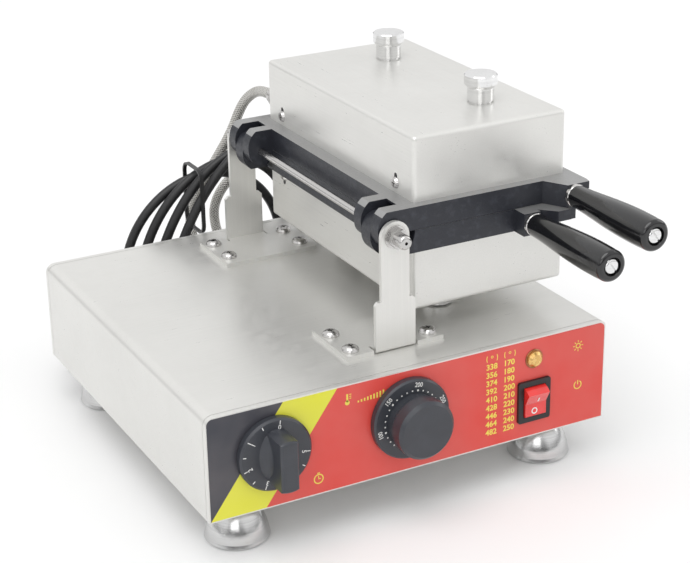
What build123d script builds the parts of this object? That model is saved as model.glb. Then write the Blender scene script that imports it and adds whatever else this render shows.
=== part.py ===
from build123d import *
import math
import os

# Walnut cookie maker: a hinged pair of cast moulds that flips over a sheet metal base.
# Millimetres. X runs to the right, -Y faces the cook, Z is up and 0 is the worktop.

# Base casing
base_width = 300.0
base_depth = 293.0
base_height = 73.5
sheet = 1.2
left_bend = 7.0
right_bend = 4.0
lip_depth = 4.0
flange_depth = 14.0
bottom_flange = 12.0
panel_gap = 0.3
shell_gap = 0.4

# Feet
foot_height = 33.0
foot_radius = 22.0
foot_neck_radius = 9.0
foot_inset_x = 32.0
foot_inset_y = 31.0
foot_bolt_radius = 3.0
foot_bolt_across = 10.0
foot_bolt_head = 4.0
casing_screw_radius = 3.5
casing_screw_head = 2.0
casing_screw_inset = 10.0
casing_screw_second = 80.0

# Front label
label_thickness = 0.3
label_margin = 1.0
label_corner = 4.0

# Hinge
hinge_x = 2.0
rod_radius = 2.6
rod_overhang = 10.0
running_gap = 0.05
eye_radius = 10.0
eye_flat = 4.0
eye_gap = 0.3
eye_root = 12.0
swing_gap = 0.6
post_sheet = 3.0
post_plate_width = 73.4
post_plate_depth = 50.0
post_plate_shift = -0.1
post_foot_width = 30.0
post_neck_width = 21.0
post_shoulder = 36.5
post_tip_radius = 10.5
post_bend = 4.0
post_front_y = -116.5
post_rear_y = 121.5
post_screw_x = 29.5
post_screw_inner = 37.1
post_screw_outer = 9.0
post_screw_head = 6.0
post_screw_radius = 3.0
post_screw_dome = 3.6
post_screw_slot = 4.4
post_nut_across = 10.0
post_nut_thickness = 5.0
nut_across = 12.0
nut_thickness = 5.5
nut_turn = 12.0
nut_dome_radius = 4.9
nut_dome_length = 7.8
nut_dome_wall = 1.6
nut_dome_hole = 1.1
washer_radius = 8.0
washer_thickness = 1.2

# Mould halves
mould_thickness = 16.0
parting_gap = 0.3
mould_left = 11.0
mould_right = 146.0
mould_front = -112.5
mould_back = 117.5
mould_corner = 3.0
lug_middle = 2.5
lug_inner = 81.5
lug_notch = 91.5
lug_outer = 104.5
cavity_columns = 3
cavity_rows = 4
cavity_pitch_x = 40.0
cavity_pitch_y = 53.0
cavity_centre_x = 83.0
cavity_half_width = 14.0
cavity_half_length = 20.0
cavity_raise = 1.0
heater_radius = 4.0
heater_gap = 0.15
boss_size = 12.0
boss_height = 14.0
heater_side_inset = 22.0
heater_end_inset = 18.0
heater_tail = 12.0
heater_loop_half = 12.0
heater_loop_short = 40.0
heater_bend = 11.0

# Covers
cover_height = 44.7
cover_left = 21.8
cover_right = 140.4
cover_front = -105.5
cover_back = 110.5
cover_bend = 3.0
cover_screw_front = -82.2
cover_screw_back = 87.4
cover_screw_height = 7.0
cover_screw_head = 4.0
cover_screw_radius = 2.0
keyhole_length = 5.0
insulation_gap = 0.3

# Knobs that the covers stand on
knob_length = 19.5
upper_knob_x = 101.9
lower_knob_x = 68.0
knob_front = -58.7
knob_back = 69.5
knob_radius = 9.25
knob_head_radius = 11.5
knob_head_height = 7.0
knob_flare = 2.5
knob_stud_radius = 2.5
knob_nut_across = 8.0
knob_nut_thickness = 4.0
rest_gap = 0.3

# Handles
grip_length = 85.7
grip_root_radius = 7.9
grip_end_radius = 11.2
spindle_radius = 4.0
spindle_head_radius = 5.5
spindle_head_depth = 5.0
spindle_grip_in_ear = 14.0
collar_radius = 7.9
collar_thickness = 2.8
grip_axis_offset = 8.1
upper_ear_front = -128.5
lower_ear_front = -124.3
upper_grip_x = 133.5
lower_grip_x = 104.0

# Controls on the front panel
control_drop = 33.5
timer_x = -104.8
thermostat_x = -6.2
switch_x = 91.5
switch_drop = 45.7
lamp_drop = 14.9
skirt_gap = 0.6
skirt_front = 6.0
knob_face = 26.0
timer_skirt_radius = 25.3
timer_bar_width = 12.5
timer_bar_length = 35.6
timer_hub_width = 24.2
timer_hub_length = 37.0
timer_hub_rise = 13.0
thermostat_skirt_radius = 28.3
thermostat_neck_radius = 18.5
thermostat_cap_radius = 20.5
shaft_radius = 3.0
bushing_radius = 5.0
shaft_reach = 12.0
timer_case_width = 46.0
timer_case_height = 52.0
timer_case_depth = 38.0
thermostat_case_width = 42.0
thermostat_case_height = 44.0
thermostat_case_depth = 32.0
case_corner = 3.0
switch_width = 25.5
switch_length = 30.5
switch_flange = 2.2
rocker_radius = 11.0
rocker_width = 16.6
rocker_gap = 0.4
rocker_tilt = 13.5
rocker_corner = 54.8
rocker_valley = 4.0
rocker_back = 4.0
rocker_back_half = 8.0
rocker_end_turn = 95.0
pivot_depth = 2.4
trunnion_radius = 1.5
lamp_radius = 6.9
lamp_ring = 0.8
lamp_hole_radius = 5.0
lamp_depth = 20.0
lens_radius = 4.2
lens_head_radius = 5.7
lens_head = 3.0
lens_bevel = 1.7
lens_length = 10.0

# Terminals inside the base
terminal_shift = 40.0
terminal_y = 70.0
terminal_width = 60.0
terminal_depth = 22.0
terminal_height = 20.0
terminal_pitch = 11.0
terminal_rows = 12.0
terminal_hole_radius = 2.2
terminal_hole_depth = 8.0

# Conduits and mains lead
hose_radius = 4.0
hose_gland_reach = 18.0
hose_gland_height = 38.0
hose_gland_left = -8.5
hose_gland_right = 13.0
fitting_reach = 12.0
fitting_height = 28.5
upper_fitting_x = 31.0
lower_fitting_x = 100.0
cord_radius = 3.75
cord_gland_x = 100.0
cord_gland_height = 33.0
cord_gland_reach = 25.0
coil_turns = 4
coil_pitch = 8.3
coil_centre_x = -10.0
coil_half_width = 66.0
coil_low_height = 66.0
coil_rise = 44.0
coil_lean = 64.0
coil_draw_in = 8.0
coil_behind = 6.3
tie_thickness = 1.5
tie_width = 3.0
tie_corner = 9.0

# Places worked out from the sizes above
base_bottom = foot_height
foot_spacing_x = base_width - 2 * foot_inset_x
foot_spacing_y = base_depth - 2 * foot_inset_y
control_height = base_height - control_drop
switch_height = base_height - switch_drop
lamp_height = base_height - lamp_drop
base_top = base_bottom + base_height
hinge_z = base_top + mould_thickness + cover_height + knob_length + rest_gap
grip_tip_y = upper_ear_front - collar_thickness - rest_gap - grip_length
front_reach = -grip_tip_y
rear_reach = base_depth / 2 + hose_gland_reach
shift_y = (front_reach - rear_reach) / 2
panel_front = shift_y - base_depth / 2
panel_back = shift_y + base_depth / 2
label_front = panel_front - label_thickness
swing_radius = math.hypot(eye_flat, mould_thickness) + swing_gap
rod_front = shift_y + post_front_y - rod_overhang
rod_back = shift_y + post_rear_y + rod_overhang

os.makedirs("parts", exist_ok=True)


def facing_front(y):
    """A sketch plane at y that is seen from the front: X to the right, Z up."""
    return Plane(origin=(0, y, 0), x_dir=(1, 0, 0), z_dir=(0, -1, 0))


def facing_left(x):
    """A sketch plane at x that is seen from the left side: -Y to the right, Z up."""
    return Plane(origin=(x, 0, 0), x_dir=(0, -1, 0), z_dir=(-1, 0, 0))


def save(piece, name):
    piece.part.label = name
    export_step(piece.part, "parts/" + name + ".step")


def casing_outline(inset):
    """The base's section with its two bends, drawn in by a wall's thickness."""
    with BuildSketch(facing_front(0)) as outline:
        with Locations((0, base_bottom + base_height / 2)):
            Rectangle(base_width - 2 * inset, base_height - 2 * inset)
        top = outline.vertices().group_by(Axis.Y)[-1].sort_by(Axis.X)
        fillet(top[0], max(left_bend - inset, 0.5))
        top = outline.vertices().group_by(Axis.Y)[-1].sort_by(Axis.X)
        fillet(top[-1], max(right_bend - inset, 0.5))
    return outline.sketch


def casing_tube(y, depth, outer_inset, inner_inset):
    """A tube on the base's section, from y back by depth."""
    outer = extrude(Pos(0, y, 0) * casing_outline(outer_inset), amount=-depth)
    inner = extrude(Pos(0, y, 0) * casing_outline(inner_inset), amount=-depth)
    return outer - inner


# Casing
shell_start = panel_front + lip_depth + shell_gap
shell_length = base_depth - 2 * (lip_depth + shell_gap)
shell_tube = casing_tube(shell_start, shell_length, 0, sheet)
with BuildPart() as base_shell:
    add(shell_tube)
    with BuildSketch(Plane.XY.offset(base_bottom)):
        with Locations((0, shift_y)):
            Rectangle(base_width - 2 * bottom_flange, base_depth)
    extrude(amount=sheet, mode=Mode.SUBTRACT)
    with BuildSketch(Plane.XY.offset(base_top)):
        for post_y, side in ((post_front_y, 1), (post_rear_y, -1)):
            for reach in (post_screw_outer, post_screw_inner):
                with Locations((hinge_x, shift_y + post_y + side * reach)):
                    with GridLocations(2 * post_screw_x, 0, 2, 1):
                        Circle(post_screw_radius + 0.2)
    extrude(amount=-2 * sheet, mode=Mode.SUBTRACT)
save(base_shell, "base_shell")

flange_inset = sheet + panel_gap


def end_panel(side, round_holes, square_holes):
    """A front (-1) or rear (+1) panel: plate, lip level with the shell and a flange inside it."""
    face = shift_y + side * base_depth / 2
    lip = casing_tube(0, lip_depth, 0, sheet)
    plate = extrude(casing_outline(0), amount=-sheet)
    step = Pos(0, lip_depth - sheet, 0) * casing_tube(0, sheet, 0, flange_inset + sheet)
    flange = Pos(0, lip_depth - sheet, 0) * casing_tube(0, flange_depth, flange_inset, flange_inset + sheet)
    whole = plate + lip + step + flange
    if side > 0:
        whole = mirror(whole, about=Plane.XZ)
    with BuildPart() as panel:
        add(Pos(0, face, 0) * whole)
        with BuildSketch(facing_front(face)):
            for hole_x, hole_z, hole_radius in round_holes:
                with Locations((hole_x, hole_z)):
                    Circle(hole_radius)
            for hole_x, hole_z, width, height in square_holes:
                with Locations((hole_x, hole_z)):
                    Rectangle(width, height)
        extrude(amount=side * 2 * sheet, mode=Mode.SUBTRACT)
    return panel


control_holes = [
    (timer_x, base_bottom + control_height, bushing_radius + 0.2),
    (thermostat_x, base_bottom + control_height, bushing_radius + 0.2),
    (switch_x, base_bottom + lamp_height, lamp_hole_radius + 0.2),
]
switch_hole = (switch_x, base_bottom + switch_height, switch_width - 3, switch_length - 3)
gland_holes = [
    (hose_gland_left, base_bottom + hose_gland_height, hose_radius + 1.7),
    (hose_gland_right, base_bottom + hose_gland_height, hose_radius + 1.7),
    (cord_gland_x, base_bottom + cord_gland_height, cord_radius + 2.2),
]
save(end_panel(-1, control_holes, [switch_hole]), "front_panel")
save(end_panel(1, gland_holes, []), "rear_panel")

with BuildPart() as front_label:
    with BuildSketch(facing_front(panel_front)) as label_sketch:
        with Locations((0, base_bottom + base_height / 2)):
            Rectangle(base_width - 2 * label_margin, base_height - 2 * label_margin)
        top_corners = label_sketch.vertices().group_by(Axis.Y)[-1]
        fillet(top_corners, label_corner)
        for hole_x, hole_z, hole_radius in control_holes:
            with Locations((hole_x, hole_z)):
                Circle(hole_radius, mode=Mode.SUBTRACT)
        with Locations(switch_hole[:2]):
            Rectangle(switch_hole[2], switch_hole[3], mode=Mode.SUBTRACT)
    extrude(amount=label_thickness)
save(front_label, "front_label")

plate_depth = base_depth - 2 * (lip_depth - sheet + flange_depth + shell_gap)
plate_width = base_width - 2 * (sheet + panel_gap)
bottom_level = base_bottom + sheet
screw_rows = (plate_depth / 2 - casing_screw_inset, plate_depth / 2 - casing_screw_second)
with BuildPart() as bottom_plate:
    with BuildSketch(Plane.XY.offset(bottom_level)):
        with Locations((0, shift_y)):
            Rectangle(plate_width, plate_depth)
            with GridLocations(foot_spacing_x, foot_spacing_y, 2, 2):
                Circle(foot_bolt_radius + 0.2, mode=Mode.SUBTRACT)
    extrude(amount=sheet)
save(bottom_plate, "bottom_plate")

with BuildPart() as casing_screws:
    screw_x = base_width / 2 - bottom_flange / 2 - sheet / 2
    for row in screw_rows:
        with Locations((0, shift_y, base_bottom)):
            with GridLocations(2 * screw_x, 2 * row, 2, 2):
                hang = (Align.CENTER, Align.CENTER, Align.MAX)
                Cylinder(casing_screw_radius, casing_screw_head, align=hang)
save(casing_screws, "casing_screws")

# Feet
foot_top = bottom_level
with BuildPart() as feet:
    with BuildSketch(Plane.XZ):
        with BuildLine():
            underside = Line((0, 0), (foot_radius - 1.5, 0))
            rim = Line(underside @ 1, (foot_radius, 2.0))
            lip_line = Line(rim @ 1, (foot_radius - 0.6, 4.0))
            dome = ThreePointArc(
                lip_line @ 1,
                (foot_radius * 0.78, foot_top * 0.52),
                (foot_neck_radius + 0.6, foot_top - 6.5),
            )
            waist = ThreePointArc(
                dome @ 1,
                (foot_neck_radius - 0.3, foot_top - 5.0),
                (foot_neck_radius, foot_top - 3.0),
            )
            neck = Line(waist @ 1, (foot_neck_radius, foot_top))
            cap = Line(neck @ 1, (0, foot_top))
            Line(cap @ 1, underside @ 0)
        make_face()
    revolve(axis=Axis.Z)
    with BuildSketch(Plane.XY.offset(foot_top)):
        Circle(foot_bolt_radius + 0.02)
    extrude(amount=-foot_height / 2, mode=Mode.SUBTRACT)
foot_shape = feet.part
with BuildPart() as feet:
    with Locations((0, shift_y, 0)):
        with GridLocations(foot_spacing_x, foot_spacing_y, 2, 2):
            add(foot_shape)
save(feet, "feet")

with BuildPart() as foot_bolts:
    with BuildSketch(Plane.XY.offset(foot_top + sheet)):
        with Locations((0, shift_y)):
            with GridLocations(foot_spacing_x, foot_spacing_y, 2, 2):
                RegularPolygon(foot_bolt_across / 2, 6, major_radius=False)
    extrude(amount=foot_bolt_head)
    with BuildSketch(Plane.XY.offset(foot_top + sheet)):
        with Locations((0, shift_y)):
            with GridLocations(foot_spacing_x, foot_spacing_y, 2, 2):
                Circle(foot_bolt_radius)
    extrude(amount=-(foot_height / 2 - 1.0))
save(foot_bolts, "foot_bolts")


# Hinge posts
def hinge_post(side):
    """A folded post: the front one (-1) stands on its plate's front edge, the rear one (+1) on the back."""
    face = shift_y + (post_front_y if side < 0 else post_rear_y)
    plate_x = hinge_x + post_plate_shift
    inward = -side
    plate_y = face + inward * post_plate_depth / 2
    with BuildPart() as post:
        with BuildSketch(Plane.XY.offset(base_top)):
            with Locations((plate_x, plate_y)):
                Rectangle(post_plate_width, post_plate_depth)
            with Locations((hinge_x, face + inward * post_bend)):
                with GridLocations(post_foot_width + 1.5, 0, 2, 1):
                    Rectangle(1.5, 2 * post_bend, mode=Mode.SUBTRACT)
        extrude(amount=post_sheet)
        with BuildSketch(facing_front(face)):
            with BuildLine():
                Polyline(
                    (hinge_x - post_foot_width / 2, base_top),
                    (hinge_x + post_foot_width / 2, base_top),
                    (hinge_x + post_foot_width / 2, base_top + post_shoulder - 2),
                    (hinge_x + post_foot_width / 2 - 2, base_top + post_shoulder),
                    (hinge_x + post_neck_width / 2, base_top + post_shoulder),
                    (hinge_x + post_neck_width / 2, hinge_z),
                    (hinge_x - post_neck_width / 2, hinge_z),
                    (hinge_x - post_neck_width / 2, base_top + post_shoulder),
                    (hinge_x - post_foot_width / 2 + 2, base_top + post_shoulder),
                    (hinge_x - post_foot_width / 2, base_top + post_shoulder - 2),
                    close=True,
                )
            make_face()
            with Locations((hinge_x, hinge_z)):
                Circle(post_tip_radius)
        extrude(amount=side * post_sheet)
        outer_bend = (
            post.edges()
            .filter_by(Axis.X)
            .filter_by_position(Axis.Y, face - 0.01, face + 0.01)
            .filter_by_position(Axis.Z, base_top - 0.01, base_top + 0.01)
            .filter_by_position(Axis.X, hinge_x - 1, hinge_x + 1)
        )
        fillet(outer_bend, post_sheet - 0.2)
        with BuildSketch(facing_front(face)):
            with Locations((hinge_x, hinge_z)):
                Circle(rod_radius + 0.1)
        extrude(amount=side * 2 * post_sheet, mode=Mode.SUBTRACT)
        with BuildSketch(Plane.XY.offset(base_top)):
            for reach in (post_screw_outer, post_screw_inner):
                with Locations((hinge_x, face + inward * reach)):
                    with GridLocations(2 * post_screw_x, 0, 2, 1):
                        Circle(post_screw_radius + 0.1)
        extrude(amount=post_sheet, mode=Mode.SUBTRACT)
    return post


save(hinge_post(-1), "front_post")
save(hinge_post(1), "rear_post")

post_screw_spots = [
    (hinge_x + across, shift_y + post_y + inward * reach)
    for post_y, inward in ((post_front_y, 1), (post_rear_y, -1))
    for reach in (post_screw_outer, post_screw_inner)
    for across in (-post_screw_x, post_screw_x)
]
post_nut_top = base_top - sheet
with BuildPart() as screw_shape:
    with BuildSketch(Plane.XZ):
        with BuildLine():
            Polyline(
                (0, 0),
                (post_screw_head, 0),
                (post_screw_head, post_screw_dome * 0.25),
                (post_screw_head * 0.9, post_screw_dome * 0.6),
                (post_screw_head * 0.7, post_screw_dome * 0.86),
                (post_screw_head * 0.4, post_screw_dome),
                (0, post_screw_dome),
                close=True,
            )
        make_face()
    revolve(axis=Axis.Z)
    with BuildSketch(Plane.XY):
        Circle(post_screw_radius)
    extrude(amount=-(post_sheet + sheet + 1.1 * post_nut_thickness))
    with BuildSketch(Plane.XY.offset(post_screw_dome)):
        Rectangle(post_screw_slot, post_screw_slot / 4)
        Rectangle(post_screw_slot / 4, post_screw_slot)
    extrude(amount=-post_screw_dome / 2, mode=Mode.SUBTRACT)
with BuildPart() as post_screws:
    with Locations([(x, y, base_top + post_sheet) for x, y in post_screw_spots]):
        add(screw_shape.part)
save(post_screws, "post_screws")

with BuildPart() as post_nuts:
    with BuildSketch(Plane.XY.offset(post_nut_top)):
        with Locations(post_screw_spots):
            RegularPolygon(post_nut_across / 2, 6, major_radius=False)
            Circle(post_screw_radius + 0.02, mode=Mode.SUBTRACT)
    extrude(amount=-post_nut_thickness)
save(post_nuts, "post_nuts")

with BuildPart() as hinge_rod:
    with BuildSketch(facing_front(rod_front)):
        with Locations((hinge_x, hinge_z)):
            Circle(rod_radius)
    extrude(amount=-(rod_back - rod_front))
    chamfer(hinge_rod.edges().filter_by(GeomType.CIRCLE), 0.6)
save(hinge_rod, "hinge_rod")

with BuildPart() as rod_washers:
    for face, side in ((post_front_y, 1), (post_rear_y, -1)):
        with BuildSketch(facing_front(shift_y + face)):
            with Locations((hinge_x, hinge_z)):
                Circle(washer_radius)
                Circle(rod_radius + 0.05, mode=Mode.SUBTRACT)
        extrude(amount=side * washer_thickness)
save(rod_washers, "rod_washers")

def cap_nut(side):
    """A domed nut with a small hole in its end, on the front (1) or rear (-1) end of the rod."""
    face = shift_y + (post_front_y if side > 0 else post_rear_y) - side * washer_thickness
    dome_start = face - side * nut_thickness
    with BuildPart() as nut:
        with BuildSketch(facing_front(face)):
            with Locations((hinge_x, hinge_z)):
                RegularPolygon(nut_across / 2, 6, major_radius=False, rotation=nut_turn)
        extrude(amount=side * nut_thickness)
        with BuildSketch(facing_front(dome_start)):
            with Locations((hinge_x, hinge_z)):
                Circle(nut_dome_radius)
        extrude(amount=side * nut_dome_length)
        end = nut.faces().sort_by(Axis.Y)[0 if side > 0 else -1]
        fillet(end.edges(), nut_dome_radius * 0.45)
        with BuildSketch(facing_front(face)):
            with Locations((hinge_x, hinge_z)):
                Circle(rod_radius + 0.02)
        extrude(amount=side * (nut_thickness + nut_dome_length - nut_dome_wall), mode=Mode.SUBTRACT)
        with BuildSketch(facing_front(dome_start)):
            with Locations((hinge_x, hinge_z)):
                Circle(nut_dome_hole)
        extrude(amount=side * nut_dome_length, mode=Mode.SUBTRACT)
    return nut


with BuildPart() as rod_nuts:
    add(cap_nut(1).part)
    add(cap_nut(-1).part)
save(rod_nuts, "rod_nuts")


# Mould halves: side is +1 for the upper half and -1 for the lower half
def level(side, height):
    """The height above the worktop of a level that far from the parting plane."""
    return hinge_z + side * height


def eye_spans(side):
    """The lengths of the hinge line that a half's eyes fill, as (start, end) pairs."""
    spans = []
    for way in (-1, 1):
        middle = shift_y + lug_middle
        outer_edge = shift_y + (mould_front if way < 0 else mould_back)
        inner = middle + way * lug_inner
        notch = middle + way * lug_notch
        outer = middle + way * lug_outer
        if side > 0:
            spans.append(sorted((inner, notch)))
            spans.append(sorted((outer, outer_edge)))
        else:
            spans.append(sorted((notch + way * eye_gap, outer - way * eye_gap)))
    return spans


def eye_outline(side, y):
    """An eye round the rod, with a flat that runs out level with the mould's outer face."""
    with BuildSketch(facing_front(y)) as outline:
        with Locations((hinge_x, hinge_z)):
            Circle(eye_radius)
        with BuildLine():
            root = mould_left + eye_root
            face = level(side, mould_thickness)
            flat = Line((root, face), (hinge_x - eye_flat, face))
            shoulder = ThreePointArc(
                flat @ 1,
                (hinge_x - eye_radius * 0.92, level(side, eye_radius * 0.95)),
                (hinge_x - eye_radius, level(side, 0)),
            )
            under = Line(shoulder @ 1, (root, level(side, parting_gap / 2)))
            Line(under @ 1, flat @ 0)
        make_face()
    return outline.sketch


def mould(side):
    """A cast half: plate, hinge eyes, handle ear, cover bosses and walnut cavities."""
    spans = eye_spans(side)
    other_spans = eye_spans(-side)
    slab = side * (mould_thickness - parting_gap / 2)
    with BuildPart() as half:
        with BuildSketch(Plane.XY.offset(level(side, parting_gap / 2))) as slab_sketch:
            with BuildLine():
                Polyline(
                    (mould_left, shift_y + mould_front),
                    (mould_right, shift_y + mould_front),
                    (mould_right, shift_y + mould_back),
                    (mould_left, shift_y + mould_back),
                    close=True,
                )
            make_face()
            right = slab_sketch.vertices().group_by(Axis.X)[-1].group_by(Axis.Y)[-1]
            fillet(right, mould_corner)
        extrude(amount=slab)
        for start, end in spans:
            add(extrude(eye_outline(side, start), amount=-(end - start)))
        for start, end in other_spans:
            with BuildSketch(facing_front(start - eye_gap)):
                with Locations((hinge_x, hinge_z)):
                    Circle(swing_radius)
            extrude(amount=-(end - start + 2 * eye_gap), mode=Mode.SUBTRACT)
        if side > 0:
            with BuildSketch(Plane.XY.offset(level(side, parting_gap / 2))):
                with BuildLine():
                    Polyline(
                        (upper_grip_x - 15.6, shift_y + mould_front + 0.5),
                        (upper_grip_x - 6.0, shift_y + upper_ear_front),
                        (upper_grip_x + 11.4, shift_y + upper_ear_front),
                        (mould_right, shift_y + upper_ear_front + 5.0),
                        (mould_right, shift_y + mould_front + 0.5),
                        close=True,
                    )
                make_face()
            extrude(amount=slab)
        else:
            with BuildSketch(Plane.XY.offset(level(side, parting_gap / 2))):
                with Locations((lower_grip_x - 1.4, shift_y + lower_ear_front)):
                    Rectangle(12.8, mould_front - lower_ear_front + 0.5, align=(Align.CENTER, Align.MIN))
            extrude(amount=slab)
            with BuildSketch(Plane.XY.offset(level(side, parting_gap / 2))):
                with BuildLine():
                    Polyline(
                        (lower_grip_x + 4.0, shift_y + mould_front + 0.5),
                        (lower_grip_x + 4.0, shift_y + mould_front - 7.0),
                        (lower_grip_x + 15.0, shift_y + mould_front - 18.5),
                        (lower_grip_x + 25.5, shift_y + mould_front - 18.5),
                        (lower_grip_x + 25.5, shift_y + mould_front + 0.5),
                        close=True,
                    )
                make_face()
            extrude(amount=side * 7.5)
        boss_shift = sheet + panel_gap + boss_size / 2
        boss_left = cover_left + boss_shift
        boss_right = cover_right - boss_shift
        with BuildSketch(Plane.XY.offset(level(side, mould_thickness))):
            for boss_y in (cover_screw_front, cover_screw_back):
                with Locations((boss_left, shift_y + boss_y), (boss_right, shift_y + boss_y)):
                    Rectangle(boss_size, boss_size)
        extrude(amount=side * boss_height)
        for wall_x, way in ((cover_left, 1), (cover_right, -1)):
            with BuildSketch(facing_left(wall_x)):
                for boss_y in (cover_screw_front, cover_screw_back):
                    with Locations((-(shift_y + boss_y), level(side, mould_thickness + cover_screw_height))):
                        Circle(cover_screw_radius + 0.02)
            extrude(amount=-way * (boss_size - 1), mode=Mode.SUBTRACT)
        for start, end in spans:
            with BuildSketch(facing_front(start - 1)):
                with Locations((hinge_x, hinge_z)):
                    Circle(rod_radius + running_gap)
            extrude(amount=-(end - start + 2), mode=Mode.SUBTRACT)
        grip_x = upper_grip_x if side > 0 else lower_grip_x
        ear_front = upper_ear_front if side > 0 else lower_ear_front
        with BuildSketch(facing_front(shift_y + ear_front)):
            with Locations((grip_x, level(side, grip_axis_offset))):
                Circle(spindle_radius + 0.02)
        extrude(amount=-spindle_grip_in_ear, mode=Mode.SUBTRACT)
        with Locations((cavity_centre_x, shift_y + lug_middle, level(side, parting_gap / 2 - cavity_raise))):
            with GridLocations(cavity_pitch_x, cavity_pitch_y, cavity_columns, cavity_rows):
                add(cavity_shape, mode=Mode.SUBTRACT)
    return half


with BuildPart() as walnut:
    with BuildSketch(Plane.XY):
        Ellipse(cavity_half_width, cavity_half_length)
        with Locations((-cavity_half_width, 0)):
            Rectangle(2 * cavity_half_width, 2 * cavity_half_length, mode=Mode.SUBTRACT)
    revolve(axis=Axis.Y)
cavity_shape = walnut.part


def knob_spots(side):
    """Where a half's two foot knobs stand on its cover."""
    knob_x = upper_knob_x if side > 0 else lower_knob_x
    return [(knob_x, shift_y + knob_front), (knob_x, shift_y + knob_back)]


def cover(side):
    """A folded sheet box on the back of a mould, with keyholes for its screws and holes for its knobs."""
    middle_x = (cover_left + cover_right) / 2
    middle_y = shift_y + (cover_front + cover_back) / 2
    width = cover_right - cover_left
    depth = cover_back - cover_front
    base_level = level(side, mould_thickness)
    with BuildPart() as box:
        with BuildSketch(Plane.XY.offset(base_level)):
            with Locations((middle_x, middle_y)):
                RectangleRounded(width, depth, cover_bend)
        extrude(amount=side * cover_height)
        top = box.faces().sort_by(Axis.Z)[-1 if side > 0 else 0]
        fillet(top.edges(), cover_bend - 0.2)
        with BuildSketch(Plane.XY.offset(base_level)):
            with Locations((middle_x, middle_y)):
                RectangleRounded(width - 2 * sheet, depth - 2 * sheet, cover_bend - sheet)
        extrude(amount=side * (cover_height - sheet), mode=Mode.SUBTRACT)
        for wall_x, way in ((cover_left, 1), (cover_right, -1)):
            with BuildSketch(facing_left(wall_x)):
                for screw_y in (cover_screw_front, cover_screw_back):
                    with Locations((-(shift_y + screw_y), level(side, mould_thickness + cover_screw_height))):
                        Circle(cover_screw_radius + 0.2)
                    slot_level = level(side, mould_thickness + cover_screw_height + keyhole_length / 2)
                    with Locations((-(shift_y + screw_y), slot_level)):
                        Rectangle(2 * cover_screw_radius, keyhole_length)
                    end_level = level(side, mould_thickness + cover_screw_height + keyhole_length)
                    with Locations((-(shift_y + screw_y), end_level)):
                        Circle(cover_screw_radius)
            extrude(amount=-way * 2 * sheet, mode=Mode.SUBTRACT)
        with BuildSketch(Plane.XY.offset(level(side, mould_thickness + cover_height))):
            with Locations(knob_spots(side)):
                Circle(knob_stud_radius + 0.2)
        extrude(amount=-side * 2 * sheet, mode=Mode.SUBTRACT)
        fitting_x = upper_fitting_x if side > 0 else lower_fitting_x
        with BuildSketch(facing_front(shift_y + cover_back)):
            with Locations((fitting_x, level(side, fitting_height))):
                Circle(hose_radius + 1.7)
        extrude(amount=2 * sheet, mode=Mode.SUBTRACT)
    return box


def cover_screws(side):
    """Pan head screws through the keyholes into the mould's bosses."""
    with BuildPart() as screws:
        for wall_x, way in ((cover_left, 1), (cover_right, -1)):
            spots = [
                (-(shift_y + screw_y), level(side, mould_thickness + cover_screw_height))
                for screw_y in (cover_screw_front, cover_screw_back)
            ]
            with BuildSketch(facing_left(wall_x)):
                with Locations(spots):
                    Circle(cover_screw_head)
            extrude(amount=way * 1.8, taper=28)
            with BuildSketch(facing_left(wall_x)):
                with Locations(spots):
                    Circle(cover_screw_radius)
            extrude(amount=-way * (boss_size - 2))
            with BuildSketch(facing_left(wall_x - way * 1.8)):
                with Locations(spots):
                    Rectangle(4.6, 0.9)
                    Rectangle(0.9, 4.6)
            extrude(amount=-way * 1.0, mode=Mode.SUBTRACT)
    return screws


def heater(side):
    """A tubular element in a long serpentine on the back of the mould."""
    run = level(side, mould_thickness + heater_radius + heater_gap)
    left = cover_left + heater_side_inset
    right = cover_right - heater_side_inset
    middle = (left + right) / 2
    front = shift_y + cover_front + heater_end_inset
    back = shift_y + cover_back - heater_end_inset
    with BuildPart() as tube:
        with BuildLine() as path:
            FilletPolyline(
                (left, back - heater_tail, run),
                (left, front, run),
                (middle - heater_loop_half, front, run),
                (middle - heater_loop_half, back - heater_loop_short, run),
                (middle + heater_loop_half, back - heater_loop_short, run),
                (middle + heater_loop_half, front, run),
                (right, front, run),
                (right, back - heater_tail, run),
                radius=heater_bend,
            )
        with BuildSketch(Plane(origin=path.line @ 0, z_dir=path.line % 0)):
            Circle(heater_radius)
        sweep()
    return tube


def insulation(side):
    """A ceramic fibre pad that fills the cover above the element, with room for the knob nuts."""
    start = mould_thickness + boss_height + insulation_gap
    end = mould_thickness + cover_height - sheet - insulation_gap
    inset = sheet + insulation_gap
    with BuildPart() as pad:
        with BuildSketch(Plane.XY.offset(level(side, start))):
            with Locations(((cover_left + cover_right) / 2, shift_y + (cover_front + cover_back) / 2)):
                RectangleRounded(
                    cover_right - cover_left - 2 * inset,
                    cover_back - cover_front - 2 * inset,
                    cover_bend - sheet,
                )
        extrude(amount=side * (end - start))
        with BuildSketch(Plane.XY.offset(level(side, end))):
            with Locations(knob_spots(side)):
                Circle(knob_nut_across / 2 + 2)
        extrude(amount=-side * (knob_nut_thickness + 8), mode=Mode.SUBTRACT)
    return pad


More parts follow.
